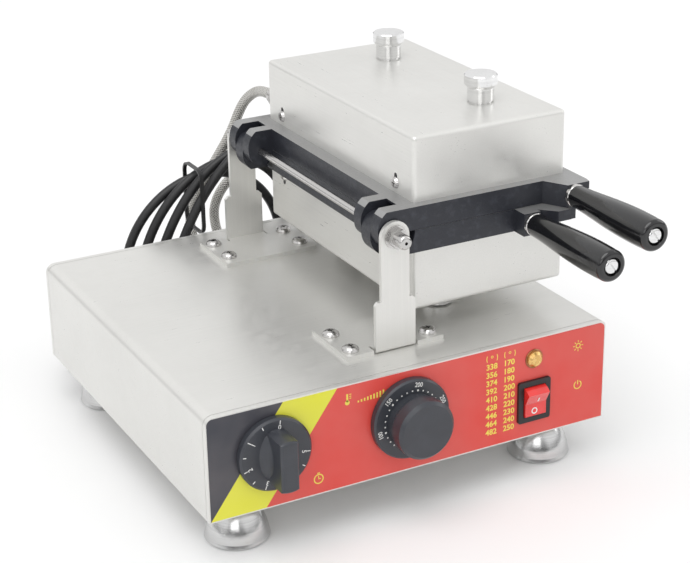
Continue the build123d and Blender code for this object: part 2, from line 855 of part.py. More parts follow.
def foot_knobs(side):
    """Two polished knobs that the half stands on when it is turned over, with their studs."""
    seat = level(side, mould_thickness + cover_height)
    with BuildPart() as knob:
        with BuildSketch(Plane.XZ):
            with BuildLine():
                Polyline(
                    (0, 0),
                    (knob_radius - 1.0, 0),
                    (knob_radius - 1.0, 0.8),
                    (knob_radius, 1.2),
                    (knob_radius, knob_length - knob_head_height - knob_flare),
                    (knob_head_radius, knob_length - knob_head_height),
                    (knob_head_radius, knob_length - 0.8),
                    (knob_head_radius - 0.8, knob_length),
                    (0, knob_length),
                    close=True,
                )
            make_face()
        revolve(axis=Axis.Z)
        with BuildSketch(Plane.XY):
            Circle(knob_stud_radius)
        extrude(amount=-(sheet + knob_nut_thickness + 1))
    shape = knob.part if side > 0 else mirror(knob.part, about=Plane.XY)
    with BuildPart() as pair:
        with Locations([(x, y, seat) for x, y in knob_spots(side)]):
            add(shape)
    return pair


def knob_nuts(side):
    """Nuts that hold the foot knobs, inside the cover."""
    with BuildPart() as nuts:
        with BuildSketch(Plane.XY.offset(level(side, mould_thickness + cover_height - sheet))):
            with Locations(knob_spots(side)):
                RegularPolygon(knob_nut_across / 2, 6, major_radius=False)
                Circle(knob_stud_radius + 0.02, mode=Mode.SUBTRACT)
        extrude(amount=-side * knob_nut_thickness)
    return nuts


def handle_places(side):
    """Where a half's handle stands: its axis, its ear's face and its grip's root."""
    grip_x = upper_grip_x if side > 0 else lower_grip_x
    ear_front = shift_y + (upper_ear_front if side > 0 else lower_ear_front)
    root = ear_front - collar_thickness - rest_gap
    return (grip_x, level(side, grip_axis_offset)), ear_front, root


def spindle(side):
    """The steel pin of a handle, with a slotted domed head that keeps the grip on."""
    axis, ear_front, root = handle_places(side)
    tip = root - grip_length
    with BuildPart() as pin:
        with BuildSketch(facing_front(ear_front + spindle_grip_in_ear - 1)):
            with Locations(axis):
                Circle(spindle_radius)
        extrude(amount=ear_front + spindle_grip_in_ear - 1 - (tip + spindle_head_depth / 2))
        with BuildSketch(facing_front(tip + spindle_head_depth - rest_gap)):
            with Locations(axis):
                Circle(spindle_head_radius)
        extrude(amount=spindle_head_depth - rest_gap)
        end_edge = pin.faces().sort_by(Axis.Y)[0].edges()
        fillet(end_edge, 2.2)
        with BuildSketch(facing_front(tip)):
            with Locations(axis):
                Rectangle(1.4, 4 * spindle_head_radius, rotation=35)
        extrude(amount=-1.8, mode=Mode.SUBTRACT)
    return pin


def collar(side):
    """The thin ring between a handle's ear and its grip."""
    axis, ear_front, root = handle_places(side)
    with BuildPart() as ring:
        with BuildSketch(facing_front(ear_front)):
            with Locations(axis):
                Circle(collar_radius)
                Circle(spindle_radius + 0.02, mode=Mode.SUBTRACT)
        extrude(amount=collar_thickness)
        chamfer(ring.faces().sort_by(Axis.Y)[0].edges(), 0.5)
    return ring


def grip(side):
    """A revolving tapered grip with a recess in its end."""
    axis, ear_front, root = handle_places(side)
    with BuildPart() as body:
        with BuildSketch(Plane.XZ):
            with BuildLine():
                bottom = Line((0, 0), (grip_root_radius - 0.8, 0))
                bevel = Line(bottom @ 1, (grip_root_radius, 0.8))
                swell = Spline(
                    bevel @ 1,
                    (grip_root_radius * 1.02, grip_length * 0.08),
                    (grip_end_radius * 0.9, grip_length * 0.42),
                    (grip_end_radius, grip_length * 0.8),
                    (grip_end_radius - 0.4, grip_length - 3.0),
                )
                rounding = ThreePointArc(
                    swell @ 1,
                    (grip_end_radius - 1.2, grip_length - 0.9),
                    (grip_end_radius - 3.2, grip_length),
                )
                end = Line(rounding @ 1, (0, grip_length))
                Line(end @ 1, bottom @ 0)
            make_face()
        revolve(axis=Axis.Z)
        with BuildSketch(Plane.XY):
            Circle(spindle_radius + running_gap)
        extrude(amount=grip_length, mode=Mode.SUBTRACT)
        with BuildSketch(Plane.XY.offset(grip_length)):
            Circle(spindle_head_radius + 0.8)
        extrude(amount=-spindle_head_depth, mode=Mode.SUBTRACT)
    with BuildPart() as placed:
        turned = Rot(90, 0, 0) * body.part
        with Locations((axis[0], root, axis[1])):
            add(turned)
    return placed


def hose_fitting(side):
    """The union that a conduit screws into at the back of a cover."""
    fitting_x = upper_fitting_x if side > 0 else lower_fitting_x
    spot = (fitting_x, level(side, fitting_height))
    wall = shift_y + cover_back
    with BuildPart() as union:
        with BuildSketch(facing_front(wall - sheet)):
            with Locations(spot):
                Circle(hose_radius + 1.5)
        extrude(amount=-sheet)
        with BuildSketch(facing_front(wall)):
            with Locations(spot):
                RegularPolygon(hose_radius + 3.2, 6, major_radius=False)
        extrude(amount=-5.0)
        with BuildSketch(facing_front(wall + 5.0)):
            with Locations(spot):
                Circle(hose_radius + 1.6)
        extrude(amount=-(fitting_reach - 5.0))
    return union


for side, prefix in ((1, "upper_"), (-1, "lower_")):
    save(mould(side), prefix + "mould")
    save(cover(side), prefix + "cover")
    save(cover_screws(side), prefix + "cover_screws")
    save(heater(side), prefix + "heater")
    save(insulation(side), prefix + "insulation")
    save(foot_knobs(side), prefix + "foot_knobs")
    save(knob_nuts(side), prefix + "knob_nuts")
    save(spindle(side), prefix + "handle_spindle")
    save(collar(side), prefix + "handle_collar")
    save(grip(side), prefix + "grip")
    save(hose_fitting(side), prefix + "hose_fitting")


# Controls
control_z = base_bottom + control_height


def control_body(knob_at, width, height, depth):
    """A timer or thermostat behind the front panel, with its bushing through the panel."""
    with BuildPart() as body:
        with BuildSketch(facing_front(panel_front + sheet)):
            with Locations((knob_at, control_z)):
                Rectangle(width, height)
        extrude(amount=-depth)
        fillet(body.edges().filter_by(Axis.Y), case_corner)
        with BuildSketch(facing_front(panel_front + sheet)):
            with Locations((knob_at, control_z)):
                Circle(bushing_radius)
        extrude(amount=sheet + label_thickness)
        with BuildSketch(facing_front(label_front)):
            with Locations((knob_at, control_z)):
                Circle(shaft_radius + running_gap)
        extrude(amount=-(depth * 0.7), mode=Mode.SUBTRACT)
    return body


def control_shaft(knob_at):
    """The shaft that a control knob is pushed onto."""
    with BuildPart() as shaft:
        with BuildSketch(facing_front(panel_front + sheet + shaft_reach)):
            with Locations((knob_at, control_z)):
                Circle(shaft_radius)
        extrude(amount=shaft_reach + sheet + label_thickness + knob_face - skirt_front)
    return shaft


timer_body = control_body(timer_x, timer_case_width, timer_case_height, timer_case_depth)
save(timer_body, "timer_body")
save(control_shaft(timer_x), "timer_shaft")
thermostat_body = control_body(
    thermostat_x, thermostat_case_width, thermostat_case_height, thermostat_case_depth
)
save(thermostat_body, "thermostat_body")
save(control_shaft(thermostat_x), "thermostat_shaft")

skirt_back_y = label_front - skirt_gap
with BuildPart() as timer_knob:
    with BuildSketch(facing_front(skirt_back_y)):
        with Locations((timer_x, control_z)):
            Circle(timer_skirt_radius)
    extrude(amount=skirt_front - skirt_gap)
    chamfer(timer_knob.faces().sort_by(Axis.Y)[0].edges(), 1.4)
    hub_widths = ((0, timer_hub_width),
                  (timer_hub_rise / 3, timer_bar_width * 1.3),
                  (timer_hub_rise, timer_bar_width * 0.9))
    for rise, width in hub_widths:
        with BuildSketch(facing_front(label_front - skirt_front - rise)):
            with Locations((timer_x, control_z)):
                Ellipse(width / 2, timer_hub_length / 2 - rise * 0.2)
    loft()
    with BuildSketch(facing_front(label_front - skirt_front)):
        with Locations((timer_x, control_z)):
            Circle(timer_bar_length / 2)
            Rectangle(timer_bar_width, timer_bar_length, mode=Mode.INTERSECT)
    extrude(amount=knob_face - skirt_front)
    bar_front = timer_knob.faces().sort_by(Axis.Y)[0]
    fillet(bar_front.edges(), 2.0)
    with BuildSketch(facing_front(skirt_back_y)):
        with Locations((timer_x, control_z)):
            Circle(shaft_radius + 0.02)
    extrude(amount=knob_face - 5.5 - skirt_gap, mode=Mode.SUBTRACT)
save(timer_knob, "timer_knob")

with BuildPart() as thermostat_knob:
    with BuildSketch(Plane.XZ):
        with BuildLine():
            Polyline(
                (0, skirt_gap),
                (thermostat_skirt_radius, skirt_gap),
                (thermostat_skirt_radius, skirt_front - 1.2),
                (thermostat_skirt_radius - 1.2, skirt_front),
                (thermostat_neck_radius, skirt_front),
                (thermostat_neck_radius, skirt_front + 6),
                (thermostat_cap_radius, skirt_front + 9),
                (thermostat_cap_radius, knob_face - 2.2),
                (thermostat_cap_radius - 2.2, knob_face),
                (0, knob_face),
                close=True,
            )
        make_face()
    revolve(axis=Axis.Z)
    with BuildSketch(Plane.XY.offset(skirt_gap)):
        Circle(shaft_radius + 0.02)
    extrude(amount=knob_face - 5.5 - skirt_gap, mode=Mode.SUBTRACT)
knob_shape = Rot(90, 0, 0) * thermostat_knob.part
with BuildPart() as thermostat_knob:
    with Locations((thermostat_x, label_front, control_z)):
        add(knob_shape)
save(thermostat_knob, "thermostat_knob")

switch_z = base_bottom + switch_height
bezel_front = label_front - switch_flange
pivot_y = bezel_front + pivot_depth
opening_half = rocker_radius + rocker_gap
with BuildPart() as switch_housing:
    with BuildSketch(facing_front(label_front)):
        with Locations((switch_x, switch_z)):
            RectangleRounded(switch_width, switch_length, 1.5)
    extrude(amount=switch_flange)
    with BuildSketch(facing_front(label_front)):
        with Locations((switch_x, switch_z)):
            Rectangle(switch_width - 3.4, switch_length - 3.4)
    extrude(amount=-24)
    with BuildSketch(facing_front(bezel_front)):
        with Locations((switch_x, switch_z)):
            Rectangle(rocker_width + 2 * rocker_gap, 2 * opening_half)
    extrude(amount=-(switch_flange + 16), mode=Mode.SUBTRACT)
    with BuildSketch(facing_left(switch_x)):
        with Locations((-pivot_y, switch_z)):
            Circle(trunnion_radius + running_gap)
    extrude(amount=rocker_width / 2 + 1.6, both=True, mode=Mode.SUBTRACT)
save(switch_housing, "switch_housing")

def rocker_rim(turn):
    """A point of the rocker's rounded ends, that far round from its front."""
    return (rocker_radius * math.cos(math.radians(turn)), rocker_radius * math.sin(math.radians(turn)))


with BuildPart() as rocker:
    with BuildSketch(facing_left(switch_x)):
        with BuildLine():
            middle_turn = (rocker_corner + rocker_end_turn) / 2
            face_up = Line((rocker_valley, 0), rocker_rim(rocker_corner))
            end_up = ThreePointArc(face_up @ 1, rocker_rim(middle_turn), rocker_rim(rocker_end_turn))
            to_back = Line(end_up @ 1, (-rocker_back, rocker_back_half))
            back = Line(to_back @ 1, (-rocker_back, -rocker_back_half))
            from_back = Line(back @ 1, rocker_rim(-rocker_end_turn))
            end_down = ThreePointArc(from_back @ 1, rocker_rim(-middle_turn), rocker_rim(-rocker_corner))
            Line(end_down @ 1, face_up @ 0)
        make_face()
    extrude(amount=rocker_width / 2, both=True)
    with BuildSketch(facing_left(switch_x)):
        Circle(trunnion_radius)
    extrude(amount=rocker_width / 2 + 1.4, both=True)
rocker_at_rest = Pos(0, pivot_y, switch_z) * Rot(rocker_tilt, 0, 0) * rocker.part
with BuildPart() as rocker:
    add(rocker_at_rest)
save(rocker, "rocker")

lamp_z = base_bottom + lamp_height
with BuildPart() as lamp_bezel:
    with BuildSketch(facing_front(label_front)):
        with Locations((switch_x, lamp_z)):
            Circle(lamp_radius)
    extrude(amount=lamp_ring)
    chamfer(lamp_bezel.faces().sort_by(Axis.Y)[0].edges(), lamp_ring / 3)
    with BuildSketch(facing_front(label_front)):
        with Locations((switch_x, lamp_z)):
            Circle(lamp_hole_radius)
    extrude(amount=-lamp_depth)
    with BuildSketch(facing_front(label_front - lamp_ring)):
        with Locations((switch_x, lamp_z)):
            Circle(lens_radius + 0.02)
    extrude(amount=-0.8 * lamp_depth, mode=Mode.SUBTRACT)
save(lamp_bezel, "lamp_bezel")

with BuildPart() as lamp_lens:
    with BuildSketch(facing_front(label_front + lens_length)):
        with Locations((switch_x, lamp_z)):
            Circle(lens_radius)
    extrude(amount=lens_length + lamp_ring)
    with BuildSketch(facing_front(label_front - lamp_ring)):
        with Locations((switch_x, lamp_z)):
            Circle(lens_head_radius)
    extrude(amount=lens_head)
    chamfer(lamp_lens.faces().sort_by(Axis.Y)[0].edges(), lens_bevel)
save(lamp_lens, "lamp_lens")

with BuildPart() as terminal_block:
    with BuildSketch(Plane.XY.offset(bottom_level + sheet)):
        with Locations((cord_gland_x - terminal_shift, shift_y + terminal_y)):
            Rectangle(terminal_width, terminal_depth)
    extrude(amount=terminal_height)
    with BuildSketch(Plane.XY.offset(bottom_level + sheet + terminal_height)):
        with Locations((cord_gland_x - terminal_shift, shift_y + terminal_y)):
            with GridLocations(terminal_pitch, terminal_rows, 5, 2):
                Circle(terminal_hole_radius)
    extrude(amount=-terminal_hole_depth, mode=Mode.SUBTRACT)
save(terminal_block, "terminal_block")

# Glands on the rear panel
with BuildPart() as hose_glands:
    for gland_x in (hose_gland_left, hose_gland_right):
        spot = (gland_x, base_bottom + hose_gland_height)
        with BuildSketch(facing_front(panel_back - 2 * sheet)):
            with Locations(spot):
                Circle(hose_radius + 1.5)
        extrude(amount=-2 * sheet)
        with BuildSketch(facing_front(panel_back)):
            with Locations(spot):
                RegularPolygon(hose_radius + 3.2, 6, major_radius=False)
        extrude(amount=-6.0)
        with BuildSketch(facing_front(panel_back + 6.0)):
            with Locations(spot):
                Circle(hose_radius + 1.8)
        extrude(amount=-(hose_gland_reach - 6.0))
save(hose_glands, "hose_glands")

cord_gland_z = base_bottom + cord_gland_height
gland_tip = panel_back + cord_gland_reach
with BuildPart() as cord_gland:
    with BuildSketch(facing_front(panel_back - 2 * sheet)):
        with Locations((cord_gland_x, cord_gland_z)):
            Circle(cord_radius + 2.0)
    extrude(amount=-2 * sheet)
    with BuildSketch(facing_front(panel_back)):
        with Locations((cord_gland_x, cord_gland_z)):
            Circle(cord_radius + 5.0)
    extrude(amount=-3.0)
    with BuildSketch(facing_front(panel_back + 3.0)):
        with Locations((cord_gland_x, cord_gland_z)):
            Circle(cord_radius + 2.6)
    extrude(amount=-(cord_gland_reach - 3.0), taper=3.5)
save(cord_gland, "cord_gland")


# Cords: straight runs joined by tangent arcs
def arc_radii(points):
    """Each corner's radius, as large as its two runs allow."""
    radii = []
    for before, corner, after in zip(points, points[1:], points[2:]):
        first = Vector(*corner) - Vector(*before)
        second = Vector(*after) - Vector(*corner)
        turn = math.radians(first.get_angle(second))
        radii.append(0.45 * min(first.length, second.length) / math.tan(turn / 2))
    return radii


def cord_tube(name, points, radius):
    """A round tube along the points, with its radii, length and volume printed."""
    radii = arc_radii(points)
    with BuildPart() as tube:
        with BuildLine() as path:
            FilletPolyline(*points, radius=radii)
        with BuildSketch(Plane(origin=path.line @ 0, z_dir=path.line % 0)):
            Circle(radius)
        sweep()
    length = path.wire().length
    share = tube.part.volume / (math.pi * radius**2 * length)
    print(name, "length", round(length, 1), "volume share", round(share, 4))
    print(name, "radii", [round(value, 1) for value in radii])
    save(tube, name)
    return length


def gland_turn(gland_x):
    """The last points of a conduit: down behind the base and forward into its gland."""
    low = base_bottom + hose_gland_height
    return [
        (gland_x, panel_back + 58, low + 22.7),
        (gland_x, panel_back + 49.5, low + 8.3),
        (gland_x, panel_back + 35, low),
        (gland_x, panel_back + hose_gland_reach, low),
    ]


def upper_hose_points():
    start = shift_y + cover_back + fitting_reach
    top = level(1, fitting_height)
    return [
        (upper_fitting_x, start, top),
        (upper_fitting_x, start + 16, top),
        (upper_fitting_x - 2, start + 31, top - 5),
        (upper_fitting_x - 6, start + 44, top - 17),
        (upper_fitting_x - 11.5, start + 55.5, top - 44),
        (upper_fitting_x - 21, start + 67.5, top - 68.5),
        (upper_fitting_x - 29.5, start + 76.5, top - 90),
        (upper_fitting_x - 36.5, start + 82, top - 106),
    ] + gland_turn(hose_gland_left)


def lower_hose_points():
    start = shift_y + cover_back + fitting_reach
    top = level(-1, fitting_height)
    return [
        (lower_fitting_x, start, top),
        (lower_fitting_x, start + 16, top),
        (lower_fitting_x - 3, start + 31.5, top - 2),
        (lower_fitting_x - 11, start + 45.5, top - 6),
        (lower_fitting_x - 24, start + 58.5, top - 11),
        (lower_fitting_x - 42, start + 68.5, top - 16),
        (lower_fitting_x - 60, start + 75.5, top - 22),
        (lower_fitting_x - 76, start + 80.5, top - 36),
        (lower_fitting_x - 85, start + 82.5, top - 51),
    ] + gland_turn(hose_gland_right)


cord_tube("upper_hose", upper_hose_points(), hose_radius)
cord_tube("lower_hose", lower_hose_points(), hose_radius)

coil_front = panel_back + coil_behind
coil_back = coil_front + coil_turns * coil_pitch
coil_centre_z = cord_radius + coil_low_height


def coil_point(turn):
    """A point of the coil after that many turns: it leaves the floor to the left and fans out at the top."""
    angle = -math.pi / 2 - 2 * math.pi * turn
    share = turn / coil_turns
    reach = coil_low_height + (coil_rise * share if math.sin(angle) > 0 else 0)
    lean = coil_lean * share * (1 + math.sin(angle)) / 2
    half_width = coil_half_width - coil_draw_in * share
    return Vector(
        coil_centre_x + half_width * math.cos(angle) + lean,
        coil_back - coil_pitch * turn,
        coil_centre_z + reach * math.sin(angle),
    )


def coil_heading(turn):
    step = 1e-4
    return (coil_point(turn + step) - coil_point(turn - step)).normalized()


def biarc_joint(start, start_way, end, end_way):
    """Where two tangent arcs from start to end meet."""
    span = end - start
    ways = start_way + end_way
    bend = 2 * (1 - start_way.dot(end_way))
    along = span.dot(ways)
    reach = (-along + math.sqrt(along**2 + bend * span.dot(span))) / bend
    return (start + start_way * reach + end - end_way * reach) * 0.5


coil_samples = []
with BuildPart() as cord_coil:
    with BuildLine() as coil_path:
        for quarter in range(4 * coil_turns):
            start = coil_point(quarter / 4)
            end = coil_point((quarter + 1) / 4)
            start_way = Vector(-1, 0, 0) if quarter == 0 else coil_heading(quarter / 4)
            end_way = Vector(-1, 0, 0) if quarter == 4 * coil_turns - 1 else coil_heading((quarter + 1) / 4)
            joint = biarc_joint(start, start_way, end, end_way)
            first = TangentArc(start, joint, tangent=start_way)
            second = TangentArc(joint, end, tangent=first % 1)
            coil_samples += [first @ (i / 12) for i in range(12)]
            coil_samples += [second @ (i / 12) for i in range(12)]
    with BuildSketch(Plane(origin=coil_path.line @ 0, z_dir=coil_path.line % 0)):
        Circle(cord_radius)
    sweep()
save(cord_coil, "cord_coil")
coil_length = coil_path.wire().length
apart = 24 * 2
gaps = [
    (coil_samples[i] - coil_samples[j]).length
    for i in range(len(coil_samples))
    for j in range(i + apart, len(coil_samples))
]
coil_share = cord_coil.part.volume / (math.pi * cord_radius**2 * coil_length)
print("cord_coil length", round(coil_length, 1), "least gap", round(min(gaps) - 2 * cord_radius, 2))
print("cord_coil volume share", round(coil_share, 4), "lowest", round(cord_coil.part.bounding_box().min.Z, 3))

lead_end = coil_point(0)
lead_points = [
    (cord_gland_x, gland_tip, cord_gland_z),
    (cord_gland_x, gland_tip + 19, cord_gland_z),
    (cord_gland_x - 1, gland_tip + 36, cord_gland_z - 9),
    (cord_gland_x - 4, gland_tip + 45.5, cord_gland_z - 26),
    (cord_gland_x - 9, gland_tip + 47, cord_gland_z - 43.5),
    (cord_gland_x - 20, gland_tip + 43, cord_radius + 5.5),
    (cord_gland_x - 38, gland_tip + 36, cord_radius + 0.8),
    (cord_gland_x - 62, gland_tip + 22, cord_radius),
    (coil_centre_x + 24, coil_back, cord_radius),
    (coil_centre_x, coil_back, cord_radius),
]
lead_length = cord_tube("power_cord", lead_points, cord_radius)

plug_height = 11.0
plug_entry = coil_centre_x - 62.0
tail_points = [
    (coil_centre_x, coil_front, cord_radius),
    (coil_centre_x - 16, coil_front, cord_radius),
    (coil_centre_x - 33, coil_front + 0.7, cord_radius + 1.5),
    (coil_centre_x - 49, coil_front + 7, plug_height),
    (plug_entry, coil_front + 12, plug_height),
]
tail_length = cord_tube("cord_tail", tail_points, cord_radius)
print("mains lead length", round(lead_length + coil_length + tail_length, 1))

plug_way = Vector(*tail_points[-1]) - Vector(*tail_points[-2])
plug_way = Vector(plug_way.X, plug_way.Y, 0).normalized()
plug_plane = Plane(origin=tail_points[-1], x_dir=(0, 0, 1), z_dir=(plug_way.X, plug_way.Y, plug_way.Z))
with BuildPart() as plug:
    with BuildSketch(plug_plane):
        Circle(cord_radius + 1.4)
    with BuildSketch(plug_plane.offset(16)):
        Circle(cord_radius + 3.0)
    loft()
    with BuildSketch(plug_plane.offset(16)):
        RectangleRounded(2 * plug_height - 4, 24, 5)
    with BuildSketch(plug_plane.offset(34)):
        RectangleRounded(2 * plug_height, 32, 6)
    loft()
    with BuildSketch(plug_plane.offset(34)):
        RectangleRounded(2 * plug_height, 32, 6)
    extrude(amount=6)
    with BuildSketch(plug_plane.offset(40)):
        with GridLocations(0, 19, 1, 2):
            Circle(2.4)
    extrude(amount=19)
save(plug, "plug")

# Tie round the strands at the top of the coil
tie_bottom = base_top - 4.0
tie_x = coil_centre_x - 6
tie_gap = 0.15
tied = [spot for spot in coil_samples if abs(spot.X - tie_x) < 8 and spot.Z > base_top]
tie_top = max(spot.Z for spot in tied) + cord_radius + tie_gap
tie_near = min(spot.Y for spot in tied) - cord_radius - tie_gap
tie_far = max(spot.Y for spot in tied) + cord_radius + tie_gap
with BuildPart() as cord_tie:
    with BuildSketch(facing_left(tie_x)):
        with Locations((-(tie_near + tie_far) / 2, (tie_bottom + tie_top) / 2)):
            tie_depth = tie_far - tie_near
            tie_height = tie_top - tie_bottom
            RectangleRounded(tie_depth + 2 * tie_thickness, tie_height + 2 * tie_thickness, tie_corner)
            RectangleRounded(tie_depth, tie_height, tie_corner - tie_thickness, mode=Mode.SUBTRACT)
    extrude(amount=tie_width)
save(cord_tie, "cord_tie")
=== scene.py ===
import math

import bmesh
import bpy
from mathutils import Matrix, Vector


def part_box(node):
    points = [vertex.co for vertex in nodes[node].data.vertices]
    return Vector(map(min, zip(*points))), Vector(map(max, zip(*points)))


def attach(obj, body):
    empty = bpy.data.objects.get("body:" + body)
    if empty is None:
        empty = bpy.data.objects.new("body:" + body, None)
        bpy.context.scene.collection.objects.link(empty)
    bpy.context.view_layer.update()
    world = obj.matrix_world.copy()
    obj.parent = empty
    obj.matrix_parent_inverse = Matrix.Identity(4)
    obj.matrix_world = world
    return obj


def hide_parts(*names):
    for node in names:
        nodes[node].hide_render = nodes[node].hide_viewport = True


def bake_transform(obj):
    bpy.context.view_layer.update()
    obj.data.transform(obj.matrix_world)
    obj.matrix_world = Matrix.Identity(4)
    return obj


# Walnut cookie maker: sheet steel base, flipping cast moulds, front controls, conduits and mains lead.
# Metres. X runs to the right, -Y faces the cook, Z is up and 0 is the worktop.
MM = 0.001

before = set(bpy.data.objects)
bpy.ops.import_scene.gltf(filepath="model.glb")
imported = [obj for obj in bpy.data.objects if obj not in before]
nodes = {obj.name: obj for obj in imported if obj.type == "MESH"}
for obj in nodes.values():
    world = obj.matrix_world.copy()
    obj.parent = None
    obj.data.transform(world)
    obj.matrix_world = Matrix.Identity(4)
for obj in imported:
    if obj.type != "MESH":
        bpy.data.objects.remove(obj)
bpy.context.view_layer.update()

# Places taken from the frame
label_low, label_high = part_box("front_label")
timer_low, timer_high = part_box("timer_knob")
thermostat_low, thermostat_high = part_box("thermostat_knob")
label_thickness = 0.3
base_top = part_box("base_shell")[1].z
label_face = label_low.y
panel_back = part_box("rear_panel")[1].y
base_y = (label_face + panel_back + label_thickness * MM) / 2
hinge_z = sum(corner.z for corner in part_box("hinge_rod")) / 2


# Small tools for meshes
def finish_mesh(piece, material, smooth=35.0):
    """Gives a new piece its material and smooth shading, and puts its place into its mesh."""
    piece.data.materials.clear()
    piece.data.materials.append(material)
    bpy.context.view_layer.update()
    piece.data.transform(piece.matrix_world)
    piece.matrix_world = Matrix.Identity(4)
    for other in bpy.context.selected_objects:
        other.select_set(False)
    piece.select_set(True)
    bpy.context.view_layer.objects.active = piece
    bpy.ops.object.shade_smooth_by_angle(angle=math.radians(smooth))
    piece.select_set(False)


def start_piece(name):
    """Names the primitive that was just added."""
    piece = bpy.context.active_object
    piece.name = name
    piece.data.name = name
    return piece


def only(piece):
    """Selects one object and makes it the active one."""
    bpy.ops.object.select_all(action="DESELECT")
    piece.select_set(True)
    bpy.context.view_layer.objects.active = piece


def join_pieces(pieces, name):
    """One mesh from several, under a new name."""
    bpy.ops.object.select_all(action="DESELECT")
    for piece in pieces:
        piece.select_set(True)
    bpy.context.view_layer.objects.active = pieces[0]
    bpy.ops.object.join()
    return start_piece(name)


# Materials
def new_material(name, colour, roughness, metallic=0.0):
    """A material and its Principled shader, with the shader's plain values set."""
    material = bpy.data.materials.new(name)
    material.use_nodes = True
    shader = material.node_tree.nodes["Principled BSDF"]
    shader.inputs["Base Color"].default_value = (*colour, 1)
    shader.inputs["Roughness"].default_value = roughness
    shader.inputs["Metallic"].default_value = metallic
    return material, shader


def add_node(material, kind, **settings):
    """Adds a node to a material or to the world, with its settings, and its inputs where a key names one."""
    node = material.node_tree.nodes.new(kind)
    for key, value in settings.items():
        if hasattr(node, key):
            setattr(node, key, value)
        else:
            node.inputs[key.replace("_", " ")].default_value = value
    return node


def wire(material, source, target):
    """Links one node's output to another's input."""
    material.node_tree.links.new(source, target)


def object_noise(material, scale, stretch=(1, 1, 1), detail=3.0, roughness=0.5, distortion=0.0):
    """Noise on the object's own coordinates, stretched along an axis where its stretch is small."""
    place = add_node(material, "ShaderNodeTexCoord")
    mapping = add_node(material, "ShaderNodeMapping", Scale=stretch)
    noise = add_node(material, "ShaderNodeTexNoise", Scale=scale, Detail=detail, Roughness=roughness)
    noise.inputs["Distortion"].default_value = distortion
    wire(material, place.outputs["Object"], mapping.inputs["Vector"])
    wire(material, mapping.outputs["Vector"], noise.inputs["Vector"])
    return noise.outputs["Fac"]


def spread(material, value, low, high, out_low, out_high, way="LINEAR"):
    """A value's range stretched to another, and clamped there."""
    node = add_node(material, "ShaderNodeMapRange", interpolation_type=way)
    node.inputs["From Min"].default_value = low
    node.inputs["From Max"].default_value = high
    node.inputs["To Min"].default_value = out_low
    node.inputs["To Max"].default_value = out_high
    wire(material, value, node.inputs["Value"])
    return node.outputs["Result"]


def shade(colour, factor, lift=0.0):
    """A colour made darker or paler by a factor, and lifted by an amount."""
    return tuple(min(1.0, part * factor + lift) for part in colour)


def calculate(material, operation, *values):
    """A Math node on values, each a number or another node's output."""
    node = add_node(material, "ShaderNodeMath", operation=operation)
    for socket, value in zip(node.inputs, values):
        if isinstance(value, bpy.types.NodeSocket):
            wire(material, value, socket)
        else:
            socket.default_value = value
    return node.outputs[0]


def blend_colours(material, factor, first, second):
    """A mix of two colours, each a fixed colour or another node's output."""
    node = add_node(material, "ShaderNodeMix", data_type="RGBA")
    for socket, colour in ((node.inputs[6], first), (node.inputs[7], second)):
        if isinstance(colour, bpy.types.NodeSocket):
            wire(material, colour, socket)
        else:
            socket.default_value = (*colour, 1)
    wire(material, factor, node.inputs[0])
    return node.outputs[2]


def add_bump(material, shader, height, strength, distance):
    """Surface relief from a height."""
    bump = add_node(material, "ShaderNodeBump", Strength=strength, Distance=distance)
    wire(material, height, bump.inputs["Height"])
    wire(material, bump.outputs["Normal"], shader.inputs["Normal"])


def sheet_steel(name, colour, stretch, roughness=0.30):
    """Satin stainless sheet: fine rolling grain, wide soft clouds and faint handling marks."""
    material, shader = new_material(name, colour, roughness, steel_metallic)
    grain = object_noise(material, 60.0, stretch, 4.0, 0.65)
    clouds = object_noise(material, 9.0, (1, 1, 1), 3.0, 0.5, 0.4)
    marks = object_noise(material, 75.0, (1, 1, 1), 5.0, 0.6, 1.2)
    streaky = spread(material, grain, 0.3, 0.7, 0.0, 1.0)
    grained = blend_colours(material, streaky, shade(colour, 0.93), colour)
    cloudy = spread(material, clouds, 0.35, 0.7, 0.0, 0.6)
    clouded = blend_colours(material, cloudy, grained, shade(colour, 1.05))
    wire(material, clouded, shader.inputs["Base Color"])
    handled = spread(material, marks, 0.4, 0.75, roughness - 0.08, roughness + 0.03)
    wire(material, calculate(material, "MULTIPLY_ADD", grain, 0.16, handled), shader.inputs["Roughness"])
    add_bump(material, shader, grain, 0.18, 0.05 * MM)
    return material


def machined_faces(material):
    """1 on the casting's machined level faces: its back and its rim, where the halves meet."""
    place = add_node(material, "ShaderNodeTexCoord")
    where = add_node(material, "ShaderNodeSeparateXYZ")
    wire(material, place.outputs["Object"], where.inputs[0])
    facing = add_node(material, "ShaderNodeSeparateXYZ")
    wire(material, place.outputs["Normal"], facing.inputs[0])
    from_hinge = calculate(material, "SUBTRACT", where.outputs["Z"], hinge_z)
    height = calculate(material, "ABSOLUTE", from_hinge)
    level = calculate(material, "ABSOLUTE", facing.outputs["Z"])
    back = calculate(material, "GREATER_THAN", height, machined_back * MM)
    back = calculate(material, "MULTIPLY", back, calculate(material, "GREATER_THAN", level, nearly_level))
    rim = calculate(material, "LESS_THAN", height, machined_rim * MM)
    rim = calculate(material, "MULTIPLY", rim, calculate(material, "GREATER_THAN", level, quite_level))
    return calculate(material, "MAXIMUM", back, rim)


